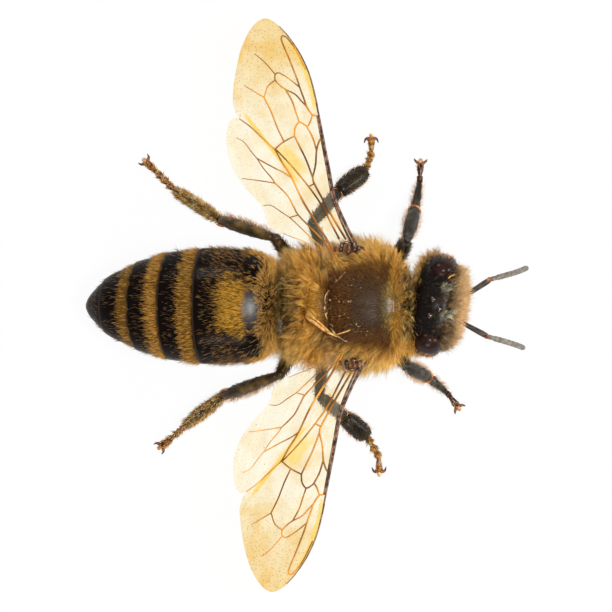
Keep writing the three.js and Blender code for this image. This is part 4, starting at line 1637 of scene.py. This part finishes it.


# %% [markdown]
# The hair material reads the root's place from the mesh and asks the markings for a colour.
# Each hair is painted darker at its root, painted shade deep in the coat, and lighter at its tip,
# painted light that shines through the thin hair.

# %% Hair material
def hair_material(name, slot, markings, root_shade, tip_light, streaks, gloss=0.35):
    """Hair coloured by markings, with painted shade at the roots, painted light at the tips and some
    brown hairs.
    """
    recipe = Recipe(name, slot)
    root = recipe.attribute("root", "Vector")
    along = recipe.attribute("along", "Fac")
    tone = recipe.attribute("tone", "Fac")
    colour = markings(recipe, root)
    colour = recipe.mix(tone.step(0.5, 0.15) * streaks, colour, STREAK_BROWN)
    # Painted shade: the roots are darkened where the coat shades them.
    colour = recipe.mix(along.step(0.75, 0.0) * root_shade, colour, NEAR_BLACK)
    # Painted light: the tips of the lighter hairs are paler, as light shines through them.
    light = along.step(0.3, 1.0) * tone.step(0.3, 0.8)
    colour = recipe.mix(light * tip_light, colour, PALE_GOLD)
    return recipe.paint(
        Base_Color=colour, Roughness=tone * 0.2 + 0.3, Specular_IOR_Level=gloss)


def tube_wrap(centre_z, x_start, x_end):
    """The unwrap of a round part about a line along the bee."""
    def wrap(roots):
        turn = np.arctan2(roots[:, 1], roots[:, 2] - centre_z)
        across = (turn / (2 * math.pi) + 0.5) * 0.99
        down = np.clip((roots[:, 0] - x_start) / (x_end - x_start), 0, 1) * 0.99
        return np.stack([across, down], axis=1)
    return wrap


# %% [markdown]
# The thorax has its longest hair on the flanks and behind, in curved tufts, and a short thin
# pile on the middle of the back, through which the shell shows.

# %% Coat of the thorax
def thorax_cover(spots, outward):
    x, y, z = spots.T
    disc = disc_of(spots)
    head_side = blend(x, 3.95, 3.75)
    belly = blend(z, 1.6, 2.4)
    shine = blend(np.hypot((x - 3.05) / 0.34, y / 0.4), 1.1, 0.5) * disc
    cover = (0.74 + 0.26 * disc) * (1 - 0.75 * shine) * (1 - 0.85 * wing_gap(spots))
    return np.clip(cover * head_side * (0.35 + 0.65 * belly), 0, 1)


def wing_gap(spots):
    """1 round the root of a wing, where the hair is short and thin."""
    x, y, z = spots.T
    away = np.hypot((x - 1.5) / 0.6, (np.abs(y) - 1.95) / 0.45)
    return blend(away, 1.2, 0.7) * blend(z, 3.6, 3.9)


def disc_of(spots):
    """1 on the middle of the back, which has the short pile, and 0 elsewhere."""
    x, y, z = spots.T
    across = blend(np.abs(y), 1.7, 1.05)
    suture = 0.5 + 0.5 * y ** 2
    shield = across * blend(x, suture, suture + 0.15) * blend(x, 3.45, 3.2)
    scutellum = blend(np.abs(y), 0.75, 0.6) * blend(x, -0.15, 0.05) * blend(x, 0.9, 0.7)
    return np.maximum(shield, scutellum) * blend(z, 4.2, 4.6)


def thorax_length(spots):
    x, y, z = spots.T
    disc = disc_of(spots)
    long = 0.82 + 0.12 * blend(x, 0.6, -0.4) - 0.2 * blend(x, 3.0, 3.7)
    waist = blend(x, -0.2, -0.5) * blend(np.abs(y), 1.0, 0.6)
    collar = blend(x, 3.1, 3.5) * blend(np.abs(y), 1.5, 1.0)
    long = long * (0.7 + 0.3 * blend(z, 1.5, 2.6)) * (1 - 0.6 * waist) * (1 - 0.35 * collar)
    above_wing = blend(np.hypot((x - 1.5) / 0.8, (np.abs(y) - 1.6) / 0.6), 1.2, 0.6)
    long *= 1 - 0.5 * above_wing * blend(z, 3.6, 3.9)
    return long * (1 - disc) + 0.2 * disc


def thorax_lie(spots):
    """Backwards on the back and rear, outwards and a little forwards at the shoulders."""
    x, y, z = spots.T
    forward = blend(x, 2.2, 3.4)
    lie = np.stack([-1.0 + 1.3 * forward, y * 0.75, (z - 3.4) * 0.35], axis=1)
    return unit(lie)


# The manner of the tufts: fine pile on the back, soft tufts before the wings, curved ones beside
# and behind them, and short loose ones on the abdomen and the eyes.
PILE = dict(width=0.012, wild=0.15, tuft_size=4, pull=0.2, rings=2)
SOFT = dict(width=0.0165, wild=0.26, tuft_size=12, pull=0.7, rings=3, curl=0.04, stray=0.2)
CURVED = dict(width=0.0175, wild=0.3, tuft_size=20, pull=0.86, rings=3, curl=0.1, stray=0.16)
LOOSE = dict(wild=0.2, tuft_size=4, pull=0.2)
# Where the pile of the back gives way to the coat round it.
DISC_EDGE = 0.35


def grow_thorax():
    roots, outward = scatter(skin_piece, 1000, thorax_cover, 11)
    spots = unplace(roots)
    disc = disc_of(spots)
    top = blend(spots[:, 2], 4.4, 5.0)
    lift = (44 + 16 * blend(np.abs(spots[:, 1]), 1.2, 2.0)) * (1 - 0.5 * top) - 4 * disc
    length = thorax_length(spots)
    lie = thorax_lie(spots)
    material = hair_material("thorax_hair", "hair", thorax_markings, 0.32, 0.95, 0.75, 0.5)
    pile = hair_material("thorax_pile", "hair", thorax_markings, 0.5, 0.3, 0.7)
    wrap = tube_wrap(3.4, -1.6, 4.2)
    on_disc = disc > DISC_EDGE
    x = spots[:, 0]
    regions = {
        "back": (on_disc, pile, PILE),
        "front": (~on_disc & (x > 2.0), material, SOFT),
        "middle": (~on_disc & (x <= 2.0) & (x > 0.4), material, CURVED),
        "rear": (~on_disc & (x <= 0.4), material, CURVED),
    }
    for seed, (region, (inside, hair, style)) in enumerate(regions.items()):
        for side, hand in BOTH_SIDES.items():
            chosen = inside & (spots[:, 1] * hand >= 0)
            grow(f"hair_{region}_{side}", roots[chosen], outward[chosen], lie[chosen],
                 length[chosen], lift[chosen], wrap, hair, 20 + 2 * seed + hand, **style)


grow_thorax()

# %% [markdown]
# On the abdomen the hair is short and lies flat towards the tip. It is golden in a patch on the
# second plate and in bands at the front of the next three, and thin and brown over the black
# between them. The first plate carries a long fringe that joins the coat of the thorax.

# %% Coat of the abdomen
BAND_COVERS = (0.3, 0.64, 0.13)
LEAST_COVER = 0.08


def abdomen_cover(spots, outward):
    share = share_of(spots)
    y = np.abs(spots[:, 1])
    bands = [full * blend(share, start - 0.004, start + 0.006) * blend(share, end + 0.03, end - 0.02)
             for (start, end), full in zip(BANDS, BAND_COVERS)]
    patch = blend(y, 1.5, 0.4) * blend(share, 0.1, 0.15) * blend(share, 0.31, 0.19)
    round_patch = blend(share, 0.14, 0.2) * blend(share, 0.335, 0.27)
    first_plates = blend(share, 0.16, 0.14)
    fringe = blend(share, 0.05, 0.03)
    cover = np.maximum.reduce([np.full(len(spots), LEAST_COVER), *bands, 0.85 * patch,
                               0.22 * round_patch, 0.62 * first_plates, 0.95 * fringe])
    bald = np.hypot((share - BALD_SHARE) / 0.034, (spots[:, 1] + BALD_SKEW) / 0.72)
    dark_spot = np.hypot((share - BALD_SHARE) / 0.05, (y - 1.45) / 0.42)
    cover *= 1 - 0.92 * blend(np.minimum(bald, dark_spot), 1.25, 0.8)
    for end in PLATE_ENDS[1:-1]:
        cover *= 1 - blend(share, end - 0.04, end - 0.03) * blend(share, end + 0.002, end - 0.002)
    cover *= 1 - 0.85 * blend(share, 0.91, 0.94)
    return cover * (0.3 + 0.7 * blend(spots[:, 2], 1.4, 2.2))


def grow_abdomen():
    material = hair_material("abdomen_hair", "dark_shell", abdomen_hair_markings, 0.3, 0.8, 0.5,
                             0.2)
    wrap = tube_wrap(2.9, -9.0, -1.0)
    for index in range(len(PLATE_ENDS)):
        piece = bpy.data.objects[f"plate_{index + 1}"]
        roots, outward = scatter(piece, 700, abdomen_cover, 51 + index)
        spots = unplace(roots)
        share = share_of(spots)
        slope = SLOPE_FRONT + SLOPE_RANGE * share
        drop = ARC_RADIUS * (math.cos(SLOPE_FRONT) - np.cos(slope))
        facing = outward[:, 1] * spots[:, 1] + outward[:, 2] * (spots[:, 2] - ARC_FRONT.z + drop)
        chosen = facing > 0.1
        roots, outward, spots, share = (a[chosen] for a in (roots, outward, spots, share))
        side = blend(np.abs(spots[:, 1]), 1.5, 2.2)
        front = blend(share, 0.05, 0.02)
        length = 0.24 + 0.05 * side + 0.26 * front
        lift = 20 + 14 * side + 34 * front
        lie = np.stack([-np.ones(len(spots)), spots[:, 1] * (0.1 + 0.5 * front),
                        0.5 * front], axis=1)
        grow(f"hair_plate_{index + 1}", roots, outward, lie, length, lift, wrap, material,
             61 + index, width=0.0125, **LOOSE)


def abdomen_hair_markings(recipe, spot):
    """Hair in the bands is gold and the rest brown; only the gaps between hairs are black."""
    _, gold = abdomen_markings(recipe, spot)
    x, y, z = recipe.split(spot)
    share = abdomen_share(x, z)
    pale = share.step(0.35, 0.4)
    thin = recipe.mix(pale, srgb(156, 112, 64), srgb(112, 80, 52))
    thick = recipe.mix(pale, srgb(255, 192, 64), srgb(240, 176, 80))
    colour = recipe.mix(gold, thin, thick)
    colour = recipe.mix(share.step(0.13, 0.09), colour, srgb(250, 190, 100))
    front = share.step(0.02, 0.005)
    front_colour = recipe.mix(abs(y).step(0.8, 1.4), WAIST_BROWN, srgb(222, 166, 76))
    return recipe.mix(front, colour, front_colour)


grow_abdomen()

# %% [markdown]
# The head's hair is fine. The upper face is thickly covered in pale gold and the lower face is
# nearly bare; the crown has a few dark hairs, and the cheeks behind the eyes a pale fringe.

# %% Coat of the head
HEAD_WRAP = tube_wrap(3.0, 3.5, 6.2)


def in_head(spots):
    """Spots on the bee in the head's own frame."""
    inverse = np.array(HEAD_FRAME.inverted())
    return (spots + np.array(shift)) @ inverse[:3, :3].T + inverse[:3, 3]


def head_cover(spots, outward):
    local = in_head(spots)
    on_head = blend(spots[:, 0], 3.75, 4.0) * (np.abs(local[:, 2]) < 2)
    face = blend(local[:, 0], 0.35, 0.75)
    cheek = blend(local[:, 0], -0.5, -0.72)
    # More hair grows on the brow patches; its pale colour is painted highlight.
    patches = np.hypot(spots[:, 0] - FRONS_FORWARD,
                       np.abs(spots[:, 1] - FRONS_MIDDLE) - FRONS_ASIDE) < 0.24
    brow = blend(local[:, 0], 0.12, 0.3) * blend(np.abs(local[:, 1]), 1.1, 0.9)
    brow *= blend(local[:, 2], 0.2, 0.6)
    low = blend(local[:, 2], 0.15, -0.3) * blend(np.abs(local[:, 1]), 1.1, 0.7)
    return on_head * np.clip(0.06 + 0.7 * face * (1 - 0.94 * low) + 0.7 * cheek + 0.3 * patches
                             + 0.3 * brow + 0.8 * gena_of(local), 0, 1)


def gena_of(local):
    """1 on the sides of the head behind the eyes, below the crown."""
    aside = blend(np.abs(local[:, 1]), 1.35, 1.6)
    return aside * blend(local[:, 0], 0.0, -0.25) * blend(local[:, 2], 0.7, 0.4)


def head_markings(recipe, spot):
    x, y, _ = recipe.split(spot)
    # The head is turned, so its left half lies further forward.
    turned = x - y * 0.09
    face = (turned + (recipe.grain(spot, 3.0, 3) - 0.5) * 0.7).step(5.15, 5.5)
    brow = turned.step(4.85, 5.0)
    behind = (x - y * 0.19).step(4.08, 3.94)
    colour = recipe.mix(face, recipe.mix(brow, DARK_HAIR, srgb(122, 94, 66)), FACE_GOLD)
    # Painted highlight: the hair on the brow patches is painted pale grey.
    colour = recipe.mix(painted_frons_highlights(recipe, spot), colour, FRONS_HIGHLIGHT_GREY)
    fringe = recipe.mix(abs(y).step(0.5, 1.1), WAIST_BROWN, srgb(244, 194, 112))
    corner = abs(y * 0.98 - x * 0.09 + 0.35).step(1.3, 1.5) * x.step(4.9, 4.6)
    return recipe.mix(most(behind, corner), colour, fringe)


def grow_head():
    roots, outward = scatter(skin_piece, 900, head_cover, 81)
    spots = unplace(roots)
    local = in_head(spots)
    face = blend(local[:, 0], 0.35, 0.8)
    gena = gena_of(local)
    # The hair is long on the upper face and short on the lower, where the shell shows.
    upper = 0.3 + 0.7 * blend(local[:, 2], -0.5, 0.3)
    length = 0.15 + 0.33 * face * upper + 0.3 * blend(local[:, 0], -0.5, -0.72) + 0.3 * gena
    lift = 50 + 8 * face
    lie = np.stack([0.5 - gena, spots[:, 1] * (0.2 + 0.3 * gena), 0.6 - 0.9 * face], axis=1)
    material = hair_material("head_hair", "dark_shell", head_markings, 0.3, 0.35, 0.5)
    for side, hand in BOTH_SIDES.items():
        chosen = spots[:, 1] * hand >= 0
        grow(f"hair_head_{side}", roots[chosen], outward[chosen], lie[chosen], length[chosen],
             lift[chosen], HEAD_WRAP, material, 90 + hand, width=0.015, wild=0.42,
             tuft_size=14, pull=0.85, stray=0.3)


def grow_eye_fuzz():
    """Short pale hairs stand on the upper outer side of each eye."""
    material = hair_material("eye_fuzz", "hair", fuzz_markings, 0.1, 0.2, 0.1)
    for side, hand in BOTH_SIDES.items():
        def cover(spots, outward):
            local = in_head(spots)
            crown = 0.03 + 0.97 * blend(local[:, 2], 0.45, 0.8)
            return crown * blend(local[:, 1] * hand, 1.7, 1.92)
        roots, outward = scatter(bpy.data.objects[f"eye_{side}_lens"], 520, cover, 95 + hand)
        grow(f"hair_eye_{side}", roots, outward, (-0.3, 0.4 * hand, 0.5), 0.2, 68.0, HEAD_WRAP,
             material, 97 + hand, width=0.01, **LOOSE)


def fuzz_markings(recipe, spot):
    return recipe.mix(recipe.grain(spot, 2.0, 2), srgb(232, 158, 104), srgb(255, 216, 176))


grow_head()
grow_eye_fuzz()

# %% [markdown]
# A few loose things lie on the back: pale crumbs of pollen and short threads in and before the
# groove in front of the scutellum, and an orange strand with two thinner ones. Rays cast straight
# down find how high the skin is under each of them.

# %% Crumbs and a strand on the back
def tree_of(piece):
    mesh = piece.data
    return BVHTree.FromPolygons([vert.co for vert in mesh.vertices],
                                [list(face.vertices) for face in mesh.polygons])


def top_of(tree, x, y):
    """The height in mm of a surface under a spot in plan."""
    hit = tree.ray_cast(place(x, y, 9) * MM, Vector((0, 0, -1)))[0]
    return hit.z / MM if hit else 0


def laid(tree, points, above, radius):
    """A rod's path through points in plan, which lies above a surface and ends thin."""
    line = through([(x, y, 0) for x, y in points], 6 * len(points))
    path = []
    for i, (x, y, _) in enumerate(line):
        thin = math.sin(math.pi * (i + 0.6) / (len(line) + 0.2)) ** 0.4
        path.append((*place(x, y, top_of(tree, x, y) + above), radius * thin))
    return path


BACK = tree_of(skin_piece)
CRUMBS = 84
STRANDS = [([(-0.2, -0.38), (0.15, -0.6), (0.6, -0.92), (1.02, -1.14)], 0.34, 0.062),
           ([(-0.12, -0.3), (0.2, -0.48), (0.55, -0.78), (0.8, -1.0)], 0.36, 0.034),
           ([(0.92, -1.08), (1.2, -1.0), (1.52, -0.88)], 0.24, 0.03)]
THREADS = [([(1.3, 1.24), (1.1, 1.02), (0.96, 0.86)], 0.14, 0.015),
           ([(0.74, 0.6), (0.6, 0.4), (0.56, 0.16)], 0.15, 0.018),
           ([(0.56, 0.0), (0.57, -0.25), (0.66, -0.5)], 0.15, 0.017),
           ([(0.78, -0.8), (0.92, -1.0), (1.12, -1.18)], 0.28, 0.03),
           ([(1.12, -1.18), (1.36, -1.32), (1.62, -1.36)], 0.15, 0.017)]


def build_crumbs():
    random = np.random.default_rng(5)
    bm = bmesh.new()
    for i in range(CRUMBS):
        y = random.uniform(-1.35, 1.25)
        x = 0.56 + 0.5 * y * y + random.normal(0, 0.035)
        if i % 3:
            x += random.uniform(0.06, 1.0)
            y *= 0.8
        size = random.uniform(0.01, 0.028)
        spot = place(x, y, top_of(BACK, x, y) + 0.14)
        blob(bm, spot, (size * random.uniform(1, 1.6), size, size), 2, None, 2)
    rods(bm, [laid(BACK, *thread) for thread in THREADS])
    return bm


def build_strands():
    bm = bmesh.new()
    # One more lies on the edge of the left eye.
    eye = tree_of(bpy.data.objects["eye_left_lens"])
    sliver = [(*place(x, y, max(top_of(tree, x, y) for tree in (BACK, eye)) + 0.06), radius)
              for x, y, radius in ((5.16, 1.02, 0.012), (5.28, 1.12, 0.03), (5.4, 1.17, 0.03),
                                   (5.5, 1.19, 0.012))]
    rods(bm, [laid(BACK, *strand) for strand in STRANDS] + [sliver])
    return bm


finish_piece("crumbs", build_crumbs(),
             shell_material("crumbs", "hair", srgb(112, 76, 34), srgb(236, 206, 150), 5.0, 0.5))
finish_piece("orange_strand", build_strands(),
             shell_material("orange_strand", "hair", srgb(196, 132, 60), srgb(246, 206, 128), 9.0,
                            0.5))

# %% [markdown]
# Leg hair is stiff. A dark nap covers each piece and a paler fringe stands along its edges; on
# the long foot joint of the hind leg both are a golden brush. The fringe of the hind shin stands
# on one side of the bare hollow in which pollen is carried.

# %% Coat of the legs
def two_tones(grain, low, high, dark, light):
    """Markings in soft clouds of two tones."""
    def markings(recipe, spot):
        return recipe.mix(recipe.grain(spot, grain, 3).step(low, high), dark, light)
    return markings


# Hairs to the square millimetre and their length in mm, for the dark nap all over each piece
# and for the pale fringe along its edges: coxa, femur, tibia, basitarsus.
LEG_NAP = {
    "fore": ((120, 0.26), (170, 0.24), (100, 0.13), (200, 0.14)),
    "middle": ((120, 0.26), (120, 0.18), (150, 0.16), (300, 0.13)),
    "hind": ((120, 0.26), (160, 0.24), (60, 0.1), (300, 0.13)),
}
LEG_FRINGE = {
    "fore": ((120, 0.34), (110, 0.3), (260, 0.3), (360, 0.3)),
    "middle": ((120, 0.34), (90, 0.3), (110, 0.26), (150, 0.22)),
    "hind": ((120, 0.34), (90, 0.32), (200, 0.3), (380, 0.24)),
}
FOOT_HAIR = {"fore": (110, 0.13), "middle": (190, 0.15), "hind": (300, 0.17)}


def limb_axes(start, end):
    start = np.array(start)
    axis = np.array(end) - start
    long = np.linalg.norm(axis)
    axis = axis / long
    across = np.cross([0, 0, 1], axis)
    across /= np.linalg.norm(across)
    return start, axis, across, np.cross(axis, across), long


def limb_wrap(start, end, level):
    """The unwrap of one leg piece, in its own strip of the leg's map."""
    start, axis, across, upwards, long = limb_axes(start, end)

    def wrap(roots):
        off = roots - start
        turn = np.arctan2(off @ across, off @ upwards) / (2 * math.pi) + 0.5
        down = np.clip(off @ axis / long, 0, 1)
        return np.stack([turn * 0.99, (level + down * 0.95) / len(PIECES)], axis=1)
    return wrap


def everywhere(spots, outward):
    return np.ones(len(spots))


def edge_cover(across, hand, least=0.72):
    """The fringe grows where a leg piece faces sideways; hand picks one side, 0 is both."""
    def cover(spots, outward):
        facing = outward @ across
        return blend(np.abs(facing), least, least + 0.3) * ((facing * hand > 0) | (hand == 0))
    return cover


def grow_leg_hair(leg, number):
    joints = leg_joints(leg)
    kind, side = leg.split("_")
    for index, piece in enumerate(PIECES):
        shell = bpy.data.objects[f"{leg}_{piece}_shell"]
        start, end = joints[index], joints[index + 1]
        _, axis, across, _, _ = limb_axes(start, end)
        # The fringe of a hind leg's shin is on one side only; the brush of its foot is on both.
        brush = kind == "hind" and piece == "basitarsus"
        fringe = edge_cover(across, 0)
        if brush:
            fringe = edge_cover(across, 0, 0.3)
        elif kind == "hind" and piece == "tibia":
            fringe = edge_cover(across, -BOTH_SIDES[side])
        nap = BRUSH_MATERIAL if brush else NAP_MATERIAL
        coats = (("nap", LEG_NAP, everywhere, nap, 22.0, 0.02),
                 ("fringe", LEG_FRINGE, fringe, BRUSH_MATERIAL if brush else FRINGE_MATERIAL,
                  38.0 if brush else 50.0, 0.018 if brush else 0.014))
        for coat, table, cover, material, lift, width in coats:
            per_square_mm, long = table[kind][index]
            seed = 100 + number * 16 + index * 2 + (coat == "fringe")
            roots, outward = scatter(shell, per_square_mm, cover, seed)
            grow(f"{coat}_{leg}_{piece}", roots, outward, axis, long, lift,
                 limb_wrap(start, end, index), material, seed + 200, width=width,
                 wild=0.2, tuft_size=4, pull=0.25)
    # Stout bristles stand all over the foot.
    heel, toe = joints[4], joints[5]
    axis = limb_axes(heel, toe)[1]
    per_square_mm, long = FOOT_HAIR[kind]
    roots, outward = scatter(bpy.data.objects[f"{leg}_foot"], per_square_mm, everywhere,
                             700 + number)
    grow(f"bristles_{leg}", roots, outward, axis, long, 34.0, limb_wrap(heel, toe, 3),
         BRUSH_MATERIAL, 720 + number, width=0.022, wild=0.2, tuft_size=5, pull=0.6)


NAP_MATERIAL = hair_material(
    "leg_nap", "leg_shell", two_tones(1.3, 0.3, 0.7, srgb(28, 22, 12), srgb(80, 62, 32)),
    0.3, 0.1, 0.3, 0.15)
FRINGE_MATERIAL = hair_material(
    "leg_fringe", "leg_shell", two_tones(1.6, 0.3, 0.7, srgb(216, 162, 104), srgb(250, 214, 180)),
    0.1, 0.3, 0.15)
BRUSH_MATERIAL = hair_material(
    "leg_brush", "leg_shell", two_tones(4.0, 0.35, 0.65, srgb(206, 144, 66), srgb(255, 222, 150)),
    0.4, 0.6, 0.6)
for number, leg in enumerate(STANCE):
    grow_leg_hair(leg, number)
